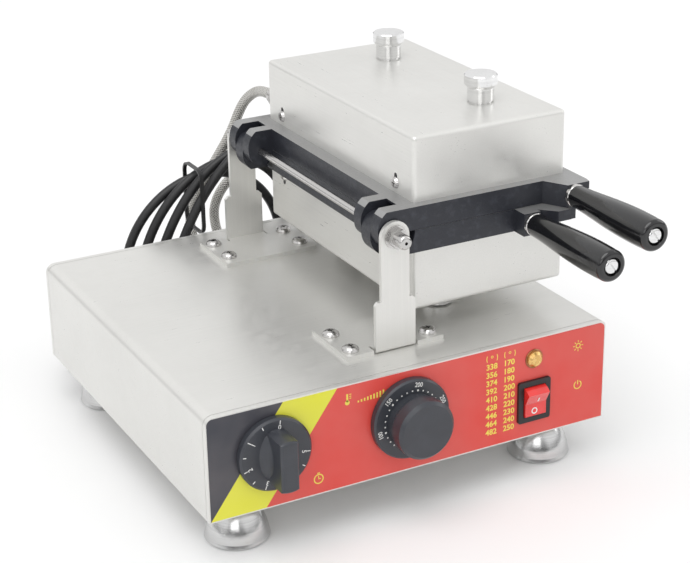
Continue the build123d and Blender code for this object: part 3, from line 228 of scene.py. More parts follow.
def cast_iron(name, colour, bare):
    """Coated casting: sandy relief, uneven sheen, paler spots of painted sheen and bare machined faces."""
    material, shader = new_material(name, colour, 0.5, 0.15)
    sand = object_noise(material, 900.0, (1, 1, 1), 3.0, 0.6)
    lumps = object_noise(material, 140.0, (1, 1, 1), 4.0, 0.6)
    # Paler spots on the dark coating: painted sheen, standing for its speckled highlights.
    painted_sheen_spots = spread(material, lumps, 0.52, 0.8, 0.0, 0.7)
    coating_with_painted_sheen = blend_colours(material, painted_sheen_spots, colour, shade(colour, 2.2, 0.012))
    machined = machined_faces(material)
    wire(material, blend_colours(material, machined, coating_with_painted_sheen, bare), shader.inputs["Base Color"])
    wire(material, spread(material, machined, 0.0, 1.0, 0.15, 0.6), shader.inputs["Metallic"])
    wire(material, spread(material, sand, 0.3, 0.7, 0.3, 0.5), shader.inputs["Roughness"])
    add_bump(material, shader, calculate(material, "ADD", sand, lumps), 0.5, 0.25 * MM)
    return material


def turned_metal(name, colour, roughness):
    """Polished metal with faint lathe rings, small scuffs and a slight change of tone."""
    material, shader = new_material(name, colour, roughness, 1.0)
    rings = object_noise(material, 90.0, (0.15, 0.15, 14.0), 2.0, 0.5)
    scuffs = object_noise(material, 160.0, (1, 1, 1), 5.0, 0.65, 0.8)
    tone = spread(material, rings, 0.3, 0.7, 0.0, 1.0)
    wire(material, blend_colours(material, tone, shade(colour, 0.88), colour), shader.inputs["Base Color"])
    rough = spread(material, scuffs, 0.35, 0.8, max(roughness - 0.06, 0.05), roughness + 0.12)
    wire(material, rough, shader.inputs["Roughness"])
    add_bump(material, shader, rings, 0.12, 0.05 * MM)
    return material


def moulded(name, colour, roughness, relief, coat=0.0, scale=700.0):
    """Moulded plastic or rubber: fine spark relief and a slightly uneven sheen."""
    material, shader = new_material(name, colour, roughness)
    spark = object_noise(material, scale, (1, 1, 1), 2.0, 0.5)
    haze = object_noise(material, 60.0, (1, 1, 1), 4.0, 0.6, 0.5)
    tone = spread(material, haze, 0.4, 0.8, 0.0, 0.6)
    hazy = blend_colours(material, tone, colour, shade(colour, 1.35, 0.004))
    wire(material, hazy, shader.inputs["Base Color"])
    sheen = spread(material, haze, 0.3, 0.75, roughness - 0.04, roughness + 0.08)
    wire(material, sheen, shader.inputs["Roughness"])
    add_bump(material, shader, spark, relief, 0.06 * MM)
    if coat:
        shader.inputs["Coat Weight"].default_value = coat
        shader.inputs["Coat Roughness"].default_value = 0.06
    return material


def side_of_line(material, through, towards):
    """1 on one side of a slanted line on the label, which passes two points (x, z), and 0 on the other."""
    place = add_node(material, "ShaderNodeTexCoord")
    run = Vector((towards[0] - through[0], towards[1] - through[1]))
    normal = Vector((run.y, -run.x)).normalized()
    dot = add_node(material, "ShaderNodeVectorMath", operation="DOT_PRODUCT")
    wire(material, place.outputs["Object"], dot.inputs[0])
    dot.inputs[1].default_value = (normal.x, 0, normal.y)
    edge = normal.x * through[0] + normal.y * through[1]
    return calculate(material, "GREATER_THAN", dot.outputs["Value"], edge)


def label_print():
    """The front film: black, yellow and red fields with slanted edges, under a satin lacquer."""
    material, shader = new_material("label_film_print", (0.65, 0.05, 0.04), 0.34)
    top = label_high.z
    bottom = label_low.z
    black_edge = ((label_black_top * MM, top), (label_black_bottom * MM, bottom))
    yellow_edge = ((label_yellow_top * MM, top), (label_yellow_bottom * MM, bottom))
    past_black = side_of_line(material, black_edge[1], black_edge[0])
    past_yellow = side_of_line(material, yellow_edge[1], yellow_edge[0])
    first = blend_colours(material, past_black, (0.035, 0.037, 0.05), (0.73, 0.72, 0.035))
    second = blend_colours(material, past_yellow, first, (0.69, 0.058, 0.045))
    haze = object_noise(material, 25.0, (1, 1, 1), 3.0, 0.5)
    fading = spread(material, haze, 0.3, 0.8, 0.0, 0.08)
    wire(material, blend_colours(material, fading, second, (0.8, 0.7, 0.65)), shader.inputs["Base Color"])
    peel = object_noise(material, 420.0, (1, 1, 1), 2.0, 0.5)
    wire(material, spread(material, haze, 0.3, 0.7, 0.28, 0.4), shader.inputs["Roughness"])
    add_bump(material, shader, peel, 0.12, 0.04 * MM)
    return material


def braid(name):
    """Woven wire sleeve: two sets of strands crossing round the hose, on the piece's own UV map, with painted
    shade in the grooves between the strands.
    """
    material, shader = new_material(name, (0.62, 0.61, 0.59), 0.4, 0.85)
    uv = add_node(material, "ShaderNodeUVMap", uv_map="UVMap")
    split = add_node(material, "ShaderNodeSeparateXYZ")
    wire(material, uv.outputs["UV"], split.inputs[0])

    def strands(way):
        """Ridges of the strands that wind one way round."""
        along = calculate(material, "MULTIPLY", split.outputs["Y"], braid_turn)
        around = way * braid_strands * 2 * math.pi
        phase = calculate(material, "MULTIPLY_ADD", split.outputs["X"], around, along)
        return calculate(material, "SINE", phase)

    relief = calculate(material, "MAXIMUM", strands(1), strands(-1))
    # Painted shade: the colour darkens in the grooves between the strands and is palest on their ridges.
    tone = spread(material, relief, -0.3, 0.9, 0.0, 1.0)
    soil = object_noise(material, 70.0, (1, 1, 1), 3.0, 0.6)
    strands_and_painted_groove_shade = blend_colours(material, tone, (0.30, 0.29, 0.27), (0.74, 0.73, 0.70))
    soiling = spread(material, soil, 0.4, 0.8, 0.0, 0.35)
    soil_and_painted_shade = blend_colours(material, soiling, strands_and_painted_groove_shade, (0.42, 0.40, 0.36))
    wire(material, soil_and_painted_shade, shader.inputs["Base Color"])
    wire(material, spread(material, relief, -0.5, 1.0, 0.6, 0.34), shader.inputs["Roughness"])
    add_bump(material, shader, relief, 0.8, 0.35 * MM)
    return material


def lamp_amber():
    """Amber lens with a golden coat, and light caught inside it."""
    material, shader = new_material("lamp_amber_glass", (0.62, 0.24, 0.05), 0.22, 0.6)
    depth = object_noise(material, 320.0, (1, 1, 1), 2.0, 0.5)
    tone = spread(material, depth, 0.3, 0.7, 0.0, 1.0)
    gold = blend_colours(material, tone, (0.58, 0.32, 0.07), (0.80, 0.52, 0.18))
    wire(material, gold, shader.inputs["Base Color"])
    wire(material, spread(material, depth, 0.3, 0.7, 0.16, 0.3), shader.inputs["Roughness"])
    shader.inputs["Coat Weight"].default_value = 0.6
    return material


# Label print, in millimetres from the base's centre line
label_black_top = -96.6
label_black_bottom = -149.0
label_yellow_top = -58.2
label_yellow_bottom = -110.4

# Braid: strands round the hose, and their turn in radians for each metre of it
braid_strands = 10
braid_crossings = 420
braid_turn = 2 * math.pi * braid_crossings

# Steel, and the casting's levels from the hinge, beyond and within which its level faces are bare
steel_metallic = 0.64
steel_colour = (0.745, 0.740, 0.715)
machined_back = 12.5
machined_rim = 0.8
nearly_level = 0.6
quite_level = 0.9
steel_across = sheet_steel("stainless_grain_across", steel_colour, (0.25, 18, 18))
steel_deep = sheet_steel("stainless_grain_deep", steel_colour, (18, 0.25, 18))
steel_upright = sheet_steel("stainless_grain_upright", steel_colour, (18, 18, 0.25), 0.32)
fastener = turned_metal("fastener_bright", (0.60, 0.59, 0.58), 0.22)
casting = cast_iron("coated_casting", (0.024, 0.026, 0.034), (0.36, 0.36, 0.36))
polished = turned_metal("polished_turned_metal", (0.82, 0.82, 0.82), 0.14)
foot_metal = turned_metal("foot_drawn_metal", (0.66, 0.66, 0.66), 0.2)
phenolic = moulded("glossy_phenolic", (0.005, 0.005, 0.006), 0.16, 0.05, 0.45, 240.0)
knob_plastic = moulded("satin_knob_plastic", (0.040, 0.043, 0.052), 0.34, 0.3)
switch_plastic = moulded("switch_black_plastic", (0.012, 0.012, 0.013), 0.32, 0.25)
rocker_plastic = moulded("rocker_red_plastic", (0.72, 0.022, 0.020), 0.16, 0.06, 0.9)
rubber = moulded("lead_rubber", (0.012, 0.012, 0.013), 0.4, 0.35, 0.0, 500.0)
fibre = moulded("insulation_wool", (0.62, 0.60, 0.55), 0.9, 1.0, 0.0, 260.0)
sheath = turned_metal("heater_sheath", (0.28, 0.25, 0.22), 0.42)
case_plastic = moulded("control_case_resin", (0.30, 0.28, 0.22), 0.5, 0.3)
label_material = label_print()
amber = lamp_amber()
ring_metal = turned_metal("lamp_ring_metal", (0.40, 0.20, 0.10), 0.3)
print_white = moulded("print_white_ink", (0.80, 0.80, 0.78), 0.5, 0.1)
print_yellow = moulded("print_yellow_ink", (0.80, 0.66, 0.10), 0.5, 0.1)
hose_braid = braid("conduit_wire_braid")

finishes = {
    "base_shell": steel_across,
    "front_panel": steel_across,
    "rear_panel": steel_across,
    "bottom_plate": steel_deep,
    "front_label": label_material,
    "casing_screws": fastener,
    "feet": foot_metal,
    "foot_bolts": fastener,
    "front_post": steel_upright,
    "rear_post": steel_upright,
    "post_screws": fastener,
    "post_nuts": fastener,
    "hinge_rod": fastener,
    "rod_washers": fastener,
    "rod_nuts": fastener,
    "timer_body": case_plastic,
    "thermostat_body": case_plastic,
    "timer_shaft": fastener,
    "thermostat_shaft": fastener,
    "timer_knob": knob_plastic,
    "thermostat_knob": knob_plastic,
    "switch_housing": switch_plastic,
    "rocker": rocker_plastic,
    "lamp_bezel": ring_metal,
    "lamp_lens": amber,
    "terminal_block": case_plastic,
    "hose_glands": fastener,
    "cord_gland": rubber,
    "plug": rubber,
    "cord_tie": switch_plastic,
}
for half in ("upper_", "lower_"):
    finishes[half + "mould"] = casting
    finishes[half + "cover"] = steel_deep
    finishes[half + "cover_screws"] = fastener
    finishes[half + "heater"] = sheath
    finishes[half + "insulation"] = fibre
    finishes[half + "foot_knobs"] = polished
    finishes[half + "knob_nuts"] = fastener
    finishes[half + "handle_spindle"] = polished
    finishes[half + "handle_collar"] = fastener
    finishes[half + "grip"] = phenolic
    finishes[half + "hose_fitting"] = fastener
for name, finish in finishes.items():
    mesh = nodes[name].data
    mesh.materials.clear()
    mesh.materials.append(finish)


# Routes, in millimetres: X, Y from the base's centre and Z from the worktop
def placed(points):
    """A route's points in metres, in the frame's place."""
    return [Vector((x * MM, base_y + y * MM, z * MM)) for x, y, z in points]


base_middle_to_back = (panel_back - base_y) / MM
hose_radius = 4.0
hose_gland_level = 71.0
hose_gland_tip = 18.0
fitting_tip = 122.5
cord_radius = 3.75
cord_gland_x = 100.0
cord_gland_level = 66.0
cord_gland_tip = 25.0


def gland_turn(gland_x):
    """The last points of a conduit: down behind the base and forward into its gland."""
    back = base_middle_to_back
    low = hose_gland_level
    return [
        (gland_x, back + 58, low + 22.7),
        (gland_x, back + 49.5, low + 8.3),
        (gland_x, back + 35, low),
        (gland_x, back + hose_gland_tip, low),
    ]


def conduit_route(start, steps, gland_x):
    """A conduit from its fitting on a cover to its gland on the rear panel."""
    x, y, z = start
    return placed([(x + dx, y + dy, z + dz) for dx, dy, dz in steps] + gland_turn(gland_x))


upper_route = conduit_route(
    (31.0, fitting_tip, hinge_z / MM + 28.5),
    [
        (0, 0, 0),
        (0, 16, 0),
        (-2, 31, -5),
        (-6, 44, -17),
        (-11.5, 55.5, -44),
        (-21, 67.5, -68.5),
        (-29.5, 76.5, -90),
        (-36.5, 82, -106),
    ],
    -8.5,
)
lower_route = conduit_route(
    (100.0, fitting_tip, hinge_z / MM - 28.5),
    [
        (0, 0, 0),
        (0, 16, 0),
        (-3, 31.5, -2),
        (-11, 45.5, -6),
        (-24, 58.5, -11),
        (-42, 68.5, -16),
        (-60, 75.5, -22),
        (-76, 80.5, -36),
        (-85, 82.5, -51),
    ],
    13.0,
)

# Mains lead: gland to floor, four loose turns and the tail to the plug
coil_turns = 4
coil_pitch = 8.3
coil_centre_x = -10.0
coil_half_width = 66.0
coil_low_height = 66.0
coil_rise = 44.0
coil_lean = 64.0
coil_draw_in = 8.0
coil_front = base_middle_to_back + 6.3
coil_back = coil_front + coil_turns * coil_pitch
coil_centre_z = cord_radius + coil_low_height
coil_steps = 16
coil_reach = 1 / (0.75 + 0.25 * math.cos(2 * math.pi / coil_steps))


def coil_point(turn):
    """A control point of the coil after some turns, set out so that the smooth line keeps the coil's size."""
    angle = -math.pi / 2 - 2 * math.pi * turn
    share = turn / coil_turns
    reach = coil_low_height + (coil_rise * share if math.sin(angle) > 0 else 0)
    lean = coil_lean * share * (1 + math.sin(angle)) / 2
    half_width = coil_half_width - coil_draw_in * share
    return (
        coil_centre_x + coil_reach * half_width * math.cos(angle) + lean,
        coil_back - coil_pitch * turn,
        coil_centre_z + coil_reach * reach * math.sin(angle),
    )


lead_start = base_middle_to_back + cord_gland_tip
lead_route = [
    (cord_gland_x, lead_start, cord_gland_level),
    (cord_gland_x, lead_start + 19, cord_gland_level),
    (cord_gland_x - 1, lead_start + 36, cord_gland_level - 9),
    (cord_gland_x - 4, lead_start + 45.5, cord_gland_level - 26),
    (cord_gland_x - 9, lead_start + 47, cord_gland_level - 43.5),
    (cord_gland_x - 20, lead_start + 43, cord_radius + 5.5),
    (cord_gland_x - 38, lead_start + 36, cord_radius + 0.8),
    (cord_gland_x - 62, lead_start + 22, cord_radius),
    (coil_centre_x + 24, coil_back, cord_radius),
]
coil_route = [coil_point((step + 0.5) / coil_steps) for step in range(coil_turns * coil_steps)]
tail_route = [
    (coil_centre_x - 16, coil_front, cord_radius),
    (coil_centre_x - 33, coil_front + 0.7, cord_radius + 1.5),
    (coil_centre_x - 49, coil_front + 7, 11.0),
    (coil_centre_x - 62, coil_front + 12, 11.0),
]


def route_curve(name, points, radius=0.0, resolution=8):
    """A smooth line with the route's points as its control points, round if it has a radius."""
    data = bpy.data.curves.new(name, "CURVE")
    data.dimensions = "3D"
    data.resolution_u = resolution
    data.bevel_depth = radius
    data.bevel_resolution = 5
    data.use_fill_caps = True
    spline = data.splines.new("NURBS")
    spline.points.add(len(points) - 1)
    for point, place in zip(spline.points, points):
        point.co = (*place, 1)
    spline.order_u = 3
    spline.use_endpoint_u = True
    spline.use_smooth = True
    curve = bpy.data.objects.new(name, data)
    bpy.context.scene.collection.objects.link(curve)
    return curve


def line_points(points):
    """The smooth line of a route as points, read from its spline."""
    curve = route_curve("route_line", points, 0.0, 24)
    bpy.context.view_layer.update()
    mesh = bpy.data.meshes.new_from_object(curve)
    found = [vertex.co.copy() for vertex in mesh.vertices]
    bpy.data.objects.remove(curve)
    bpy.data.meshes.remove(mesh)
    return found


def line_length(points):
    """The length of a line through points."""
    return sum((b - a).length for a, b in zip(points, points[1:]))


def even_points(points, step):
    """Points at even steps along a line."""
    total = line_length(points)
    count = max(2, round(total / step))
    wanted = [total * i / count for i in range(count + 1)]
    made, travelled, index = [], 0.0, 0
    for goal in wanted:
        while index < len(points) - 2 and travelled + (points[index + 1] - points[index]).length < goal:
            travelled += (points[index + 1] - points[index]).length
            index += 1
        run = points[index + 1] - points[index]
        made.append(points[index] + run * ((goal - travelled) / run.length))
    return made


def hose_tube(name, line, radius, sides, length_before):
    """A tube round a line, with a UV map that runs round it once and along it in metres."""
    mesh = bmesh.new()
    uv_layer = mesh.loops.layers.uv.new("UVMap")
    rings = []
    across = Vector((1, 0, 0))
    travelled = [length_before]
    for index, centre in enumerate(line):
        ahead = line[min(index + 1, len(line) - 1)] - line[max(index - 1, 0)]
        ahead.normalize()
        across = (across - ahead * across.dot(ahead)).normalized()
        other = ahead.cross(across)
        ring = []
        for side in range(sides):
            turn = 2 * math.pi * side / sides
            outwards = across * math.cos(turn) + other * math.sin(turn)
            ring.append(mesh.verts.new(centre + radius * outwards))
        rings.append(ring)
        if index:
            travelled.append(travelled[-1] + (centre - line[index - 1]).length)
    for index in range(len(rings) - 1):
        for side in range(sides):
            following = (side + 1) % sides
            corners = (
                rings[index][side],
                rings[index][following],
                rings[index + 1][following],
                rings[index + 1][side],
            )
            face = mesh.faces.new(corners)
            face.smooth = True
            marks = ((side, index), (side + 1, index), (side + 1, index + 1), (side, index + 1))
            for loop, (around, along) in zip(face.loops, marks):
                loop[uv_layer].uv = (around / sides, travelled[along])
    mesh.faces.new(list(reversed(rings[0])))
    mesh.faces.new(rings[-1])
    data = bpy.data.meshes.new(name)
    mesh.to_mesh(data)
    mesh.free()
    tube = bpy.data.objects.new(name, data)
    bpy.context.scene.collection.objects.link(tube)
    return tube


bpy.ops.object.select_all(action="DESELECT")

mains_points = placed(lead_route + coil_route + tail_route)
mains_lead = route_curve("mains_lead", mains_points, cord_radius * MM, 6)
mains_lead.data.materials.append(rubber)
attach(mains_lead, "base")
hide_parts("power_cord", "cord_coil", "cord_tail")

# The conduits run between the bodies that they join: the upper one in two lengths
hose_sides = 20
hose_step = 1.2
upper_split = 0.6


def lay_conduit(name, line, replaced, length_before=0.0):
    """A braided conduit along a line between two bodies, which stands for its CAD solid."""
    conduit = hose_tube(name, line, hose_radius * MM, hose_sides, length_before)
    conduit.data.materials.append(hose_braid)
    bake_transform(conduit)
    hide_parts(replaced)


lower_line = even_points(line_points(list(reversed(lower_route))), hose_step * MM)
lay_conduit("lower_conduit", lower_line, "lower_hose")
upper_line = even_points(line_points(list(reversed(upper_route))), hose_step * MM)
split_at = round(len(upper_line) * upper_split)
upper_low = upper_line[: split_at + 1]
upper_high = upper_line[split_at:]
lay_conduit("upper_conduit_low", upper_low, "upper_hose")
lay_conduit(
    "upper_conduit_high", upper_high, "upper_hose", line_length(upper_low)
)


# Printed marks: thin raised shapes that face the front
print_proud = 0.05
print_sunk = 0.02


def place_mark(mark, x, y, z, turn=0.0):
    """Puts a mark made about the origin on a surface at y, turned anticlockwise as the cook sees it."""
    mark.matrix_world = Matrix.Translation((x, y, z)) @ Matrix.Rotation(-math.radians(turn), 4, "Y")
    bpy.context.view_layer.update()
    mark.data.transform(mark.matrix_world)
    mark.matrix_world = Matrix.Identity(4)
    return mark


def text_mark(text, height, weight=0.0, narrow=1.0):
    """Numbers or a sign as a thin mesh about the origin, as tall as given in millimetres."""
    bpy.ops.object.text_add(location=(0, 0, 0))
    letters = bpy.context.active_object
    letters.data.body = text
    letters.data.size = height / digit_share * MM
    letters.data.align_x = "CENTER"
    letters.data.align_y = "CENTER"
    letters.data.offset = weight * MM
    letters.data.extrude = (print_proud + print_sunk) / 2 * MM
    letters.data.resolution_u = 3
    bpy.ops.object.convert(target="MESH")
    letters = bpy.context.active_object
    low = min(vertex.co.y for vertex in letters.data.vertices)
    high = max(vertex.co.y for vertex in letters.data.vertices)
    left = min(vertex.co.x for vertex in letters.data.vertices)
    right = max(vertex.co.x for vertex in letters.data.vertices)
    lift = (print_proud - print_sunk) / 2 * MM
    centred = Matrix.Translation((-(left + right) / 2, -(low + high) / 2, lift))
    upright = Matrix.Rotation(math.pi / 2, 4, "X")
    letters.data.transform(upright @ Matrix.Diagonal((narrow, 1, 1, 1)) @ centred)
    return letters


def bar_mark(width, height):
    """A printed bar about the origin."""
    bpy.ops.mesh.primitive_plane_add(size=1, location=(0, 0, 0))
    bar = bpy.context.active_object
    bar.data.transform(Matrix.Diagonal((width * MM, height * MM, 1, 1)))
    raise_mark(bar)
    return bar


def dot_mark(radius, sides=14):
    """A printed dot about the origin."""
    bpy.ops.mesh.primitive_circle_add(
        vertices=sides, radius=radius * MM, fill_type="NGON", location=(0, 0, 0)
    )
    dot = bpy.context.active_object
    raise_mark(dot)
    return dot


def arc_mark(radius, width, start, end, steps=20):
    """A printed ring or arc about the origin, from one angle to another."""
    mesh = bmesh.new()
    rows = []
    reach = ((radius - width / 2) * MM, (radius + width / 2) * MM)
    for step in range(steps + 1):
        angle = math.radians(start + (end - start) * step / steps)
        rows.append([mesh.verts.new((r * math.cos(angle), r * math.sin(angle), 0)) for r in reach])
    for first, second in zip(rows, rows[1:]):
        mesh.faces.new((first[0], first[1], second[1], second[0]))
    bmesh.ops.remove_doubles(mesh, verts=mesh.verts, dist=1e-7)
    data = bpy.data.meshes.new("arc_mark")
    mesh.to_mesh(data)
    mesh.free()
    arc = bpy.data.objects.new("arc_mark", data)
    bpy.context.scene.collection.objects.link(arc)
    raise_mark(arc)
    return arc


def raise_mark(mark):
    """Gives a flat shape its thickness and stands it up to face the front."""
    only(mark)
    bpy.ops.object.mode_set(mode="EDIT")
    bpy.ops.mesh.select_all(action="SELECT")
    thickness = (print_proud + print_sunk) * MM
    bpy.ops.mesh.extrude_region_move(TRANSFORM_OT_translate={"value": (0, 0, thickness)})
    bpy.ops.mesh.select_all(action="SELECT")
    bpy.ops.mesh.normals_make_consistent(inside=False)
    bpy.ops.object.mode_set(mode="OBJECT")
    mark.data.transform(Matrix.Rotation(math.pi / 2, 4, "X") @ Matrix.Translation((0, 0, -print_sunk * MM)))


def finish_marks(marks, name, material, body):
    """Joins printed marks into one piece that rides on a body."""
    piece = join_pieces(marks, name)
    finish_mesh(piece, material)
    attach(piece, body)


# A digit's height as a share of its font size
digit_share = 0.72

# Number table: two columns of temperatures, Fahrenheit beside Celsius, under a degree sign in brackets
table_left_x = 58.2
table_right_x = 72.2
table_first = -13.2
table_pitch = 6.1
table_rows = 9
table_celsius = 170
table_celsius_step = 10
table_digit_height = 4.1
bracket_radius = 5.2
bracket_width = 0.55
bracket_half_turn = 25
table_marks = []
for row in range(table_rows):
    celsius = table_celsius + table_celsius_step * row
    z = base_top + (table_first - table_pitch * row) * MM
    for x, value in ((table_left_x, round(celsius * 9 / 5 + 32)), (table_right_x, celsius)):
        number = text_mark(str(value), table_digit_height, 0.13, 1.04)
        table_marks.append(place_mark(number, x * MM, label_face, z))
for x in (table_left_x, table_right_x):
    z = base_top + (table_first + table_pitch) * MM
    table_marks.append(place_mark(arc_mark(0.75, 0.45, 0, 360), x * MM, label_face, z + 1.0 * MM))
    for facing, shift in ((180, 1.0), (0, -1.0)):
        limits = (facing - bracket_half_turn, facing + bracket_half_turn)
        bracket = arc_mark(bracket_radius, bracket_width, *limits)
        table_marks.append(place_mark(bracket, (x + shift) * MM, label_face, z))
finish_marks(table_marks, "temperature_table", print_yellow, "base")

# Picture signs in place of the words
signs = []


def sign(mark, x, rel_z, turn=0.0):
    """Prints a mark on the label, at a height from the base's top."""
    signs.append(place_mark(mark, x * MM, label_face, base_top + rel_z * MM, turn))


thermometer_x = -51.0
thermometer_z = -10.6
sign(dot_mark(1.7, 20), thermometer_x, thermometer_z - 2.2)
sign(bar_mark(1.3, 5.6), thermometer_x, thermometer_z + 1.2)
for step in range(3):
    sign(bar_mark(1.3, 0.5), thermometer_x + 2.3, thermometer_z + 0.6 + 1.4 * step)
scale_first_x = thermometer_x + 8.0
scale_first_z = thermometer_z - 3.2
scale_pitch = 2.3
scale_growth = 0.42
for step in range(9):
    bar = bar_mark(1.1, 1.3 + scale_growth * step)
    sign(bar, scale_first_x + scale_pitch * step, scale_first_z + scale_growth / 2 * step)
clock_x = -72.8
clock_z = -62.0
sign(arc_mark(3.2, 0.75, 0, 360, 32), clock_x, clock_z)
sign(bar_mark(0.6, 2.3), clock_x, clock_z + 0.95)
sign(bar_mark(0.6, 1.7), clock_x + 0.75, clock_z, 90)
sign(bar_mark(1.8, 0.7), clock_x, clock_z + 4.2)
lamp_sign_x = 127.5
lamp_sign_z = -13.8
lamp_sign_rays = 8
lamp_sign_reach = 3.4
sign(arc_mark(1.7, 0.65, 0, 360, 24), lamp_sign_x, lamp_sign_z)
for ray in range(lamp_sign_rays):
    angle = 360 / lamp_sign_rays * ray
    x = lamp_sign_x + lamp_sign_reach * math.cos(math.radians(angle))
    z = lamp_sign_z + lamp_sign_reach * math.sin(math.radians(angle))
    sign(bar_mark(0.6, 1.4), x, z, angle - 90)
power_x = 128.2
power_z = -43.5
sign(arc_mark(2.9, 0.75, 120, 420, 28), power_x, power_z)
sign(bar_mark(0.75, 3.2), power_x, power_z + 1.9)
finish_marks(signs, "picture_signs", print_yellow, "base")

# Both dials stand proud of the label
control_z = (timer_low.z + timer_high.z) / 2
dial_rise = 6.0
dial_face = label_face - dial_rise * MM


def dial_mark(marks, mark, centre_x, reach, angle):
    """Prints a mark on a dial at a reach and an angle from its centre, its foot towards the centre."""
    x = centre_x + reach * MM * math.cos(math.radians(angle))
    z = control_z + reach * MM * math.sin(math.radians(angle))
    marks.append(place_mark(mark, x, dial_face, z, angle - 90))


# Timer dial: a line at each number, and half marks between the numbers
timer_x = (timer_low.x + timer_high.x) / 2
timer_marks = []
timer_top_number = 5
timer_zero = 82.0
timer_first = 145.0
timer_step = 52.0
timer_number_reach = 19.4
timer_line_reach = 22.6
timer_half_reach = 22.4
for number in range(timer_top_number + 1):
    angle = timer_zero if number == 0 else timer_first + timer_step * (number - 1)
    dial_mark(timer_marks, text_mark(str(number), 3.2, 0.04), timer_x, timer_number_reach, angle)
    dial_mark(timer_marks, bar_mark(0.55, 2.6), timer_x, timer_line_reach, angle)
    if number:
        before = timer_zero if number == 1 else angle - timer_step
        dial_mark(timer_marks, bar_mark(0.6, 2.2), timer_x, timer_half_reach, (before + angle) / 2)
finish_marks(timer_marks, "timer_marks", print_white, "timer")

# Thermostat dial: dots every ten degrees, numbers every fifty
thermostat_x = (thermostat_low.x + thermostat_high.x) / 2
degrees_per_unit = 1.14
dial_at_200 = 79.0
dial_lowest = 70
dial_highest = 320
dot_reach = 20.6
number_reach = 24.6
thermostat_marks = []
for value in range(dial_lowest, dial_highest + 1, 10):
    angle = dial_at_200 - (value - 200) * degrees_per_unit
    numbered = value % 50 == 0
    dot = dot_mark(0.75 if numbered else 0.55, 12)
    dial_mark(thermostat_marks, dot, thermostat_x, dot_reach, angle)
    if numbered:
        number = text_mark(str(value), 3.3, 0.05, 0.86)
        dial_mark(thermostat_marks, number, thermostat_x, number_reach, angle)
finish_marks(thermostat_marks, "thermostat_marks", print_white, "thermostat")

# Switch signs: I below the rocker's ridge and O near its foot, as places (x, z) on its face
rocker_line = (92.8, 62.6)
rocker_ring = (90.5, 54.3)
rocker_clear = 50.0
rocker_marks = []


def rocker_mark(mark, x, z):
    """Lays a mark on the rocker's face, leaning as the face leans."""
    bpy.context.view_layer.update()
    start = Vector((x * MM, label_face - rocker_clear * MM, z * MM))
    found, place, facing, _ = nodes["rocker"].ray_cast(start, Vector((0, 1, 0)))
    if not found:
        raise ValueError("no rocker face at that place")
    lean = math.atan2(facing.z, -facing.y)
    mark.data.transform(Matrix.Translation(place) @ Matrix.Rotation(-lean, 4, "X"))
    rocker_marks.append(mark)


rocker_mark(bar_mark(0.85, 3.8), *rocker_line)
rocker_mark(arc_mark(1.95, 0.8, 0, 360, 28), *rocker_ring)
finish_marks(rocker_marks, "rocker_signs", print_white, "rocker")


# Camera at the photograph's place
camera_data = bpy.data.cameras.new("photo_camera")
camera_data.lens = 93.44
camera_data.sensor_width = 36.0
camera_data.clip_start = 0.05
camera_data.clip_end = 60.0
camera = bpy.data.objects.new("photo_camera", camera_data)
bpy.context.scene.collection.objects.link(camera)
camera_place = (-0.5269, -1.0299, 0.6070)
camera_yaw = 0.482
camera_pitch = 0.396
camera_roll = -0.018
camera.matrix_world = (
    Matrix.Translation(camera_place)
    @ Matrix.Rotation(-camera_yaw, 4, "Z")
    @ Matrix.Rotation(math.pi / 2 - camera_pitch, 4, "X")
    @ Matrix.Rotation(camera_roll, 4, "Z")
)
bpy.context.scene.camera = camera

# Floor, lamps and world
floor_half = 9.0
bpy.ops.mesh.primitive_plane_add(size=2 * floor_half, location=(0, 0, 0))
floor = start_piece("studio_floor")
floor_paint, floor_shader = new_material("studio_floor_paint", (0.93, 0.93, 0.93), 0.6)
floor_shader.inputs["Specular IOR Level"].default_value = 0.1
floor.data.materials.append(floor_paint)


def hang_lamp(name, data, place, direction):
    """Puts a lamp in the scene, with its back turned towards a direction."""
    lamp = bpy.data.objects.new(name, data)
    bpy.context.scene.collection.objects.link(lamp)
    lamp.location = place
    lamp.rotation_mode = "QUATERNION"
    lamp.rotation_quaternion = Vector(direction).to_track_quat("Z", "Y")


def area_lamp(name, place, width, height, power):
    """A soft panel of light that looks at the cooker."""
    data = bpy.data.lights.new(name, "AREA")
    data.shape = "RECTANGLE"
    data.size = width
    data.size_y = height
    data.energy = power
    hang_lamp(name, data, place, Vector(place) - Vector(lamp_aim))


def sun_lamp(name, direction, strength, spread_degrees):
    """A wide soft sun that shines from a direction."""
    data = bpy.data.lights.new(name, "SUN")
    data.energy = strength
    data.angle = math.radians(spread_degrees)
    hang_lamp(name, data, (0, 0, 0), direction)


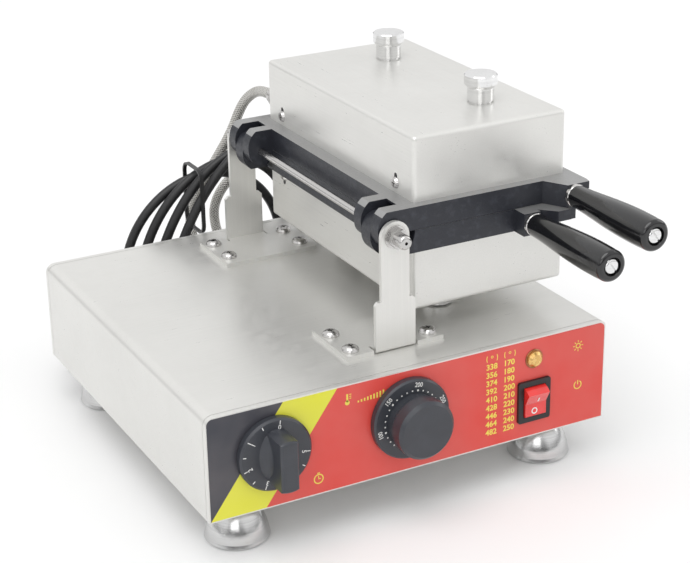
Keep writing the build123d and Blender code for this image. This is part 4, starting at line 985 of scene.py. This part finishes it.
lamp_aim = (0.0, 0.0, 0.12)
sun_lamp("key_sun", (-0.35, -0.25, 1.0), 1.25, 50)
area_lamp("front_panel_light", (-1.2, -1.8, 0.9), 1.2, 0.9, 5.0)
area_lamp("right_panel_light", (1.9, -0.4, 1.1), 0.8, 1.2, 4.0)

# Plain light for matt surfaces. Bent rays meet a white studio with a dark camera side and a grey horizon
world = bpy.data.worlds.new("studio_world")
bpy.context.scene.world = world
world.use_nodes = True
world.node_tree.nodes.clear()
rays = add_node(world, "ShaderNodeLightPath").outputs
sky = add_node(world, "ShaderNodeTexCoord").outputs["Generated"]
towards = add_node(world, "ShaderNodeSeparateXYZ")
wire(world, sky, towards.inputs[0])
camera_side = add_node(world, "ShaderNodeVectorMath", operation="DOT_PRODUCT")
wire(world, sky, camera_side.inputs[0])
camera_side.inputs[1].default_value = (-math.sin(camera_yaw), -math.cos(camera_yaw), 0.0)
dark_sector = spread(world, camera_side.outputs["Value"], 0.72, 0.95, 0.0, 0.66, "SMOOTHSTEP")
horizon = spread(world, towards.outputs["Z"], 0.05, 0.3, 0.45, 1.0, "SMOOTHSTEP")
mirrored = calculate(world, "MULTIPLY", calculate(world, "SUBTRACT", 1.0, dark_sector), horizon)
seen_air = add_node(world, "ShaderNodeBackground", Strength=1.0)
wire(world, calculate(world, "MAXIMUM", mirrored, rays["Is Camera Ray"]), seen_air.inputs["Color"])
light_air = add_node(world, "ShaderNodeBackground", Color=(1, 1, 1, 1), Strength=0.72)
seen = calculate(world, "MAXIMUM", rays["Is Camera Ray"], rays["Is Glossy Ray"])
seen = calculate(world, "MAXIMUM", seen, rays["Is Transmission Ray"])
world_mix = add_node(world, "ShaderNodeMixShader")
wire(world, seen, world_mix.inputs[0])
wire(world, light_air.outputs[0], world_mix.inputs[1])
wire(world, seen_air.outputs[0], world_mix.inputs[2])
wire(world, world_mix.outputs[0], add_node(world, "ShaderNodeOutputWorld").inputs["Surface"])

bpy.context.scene.view_settings.view_transform = "Standard"
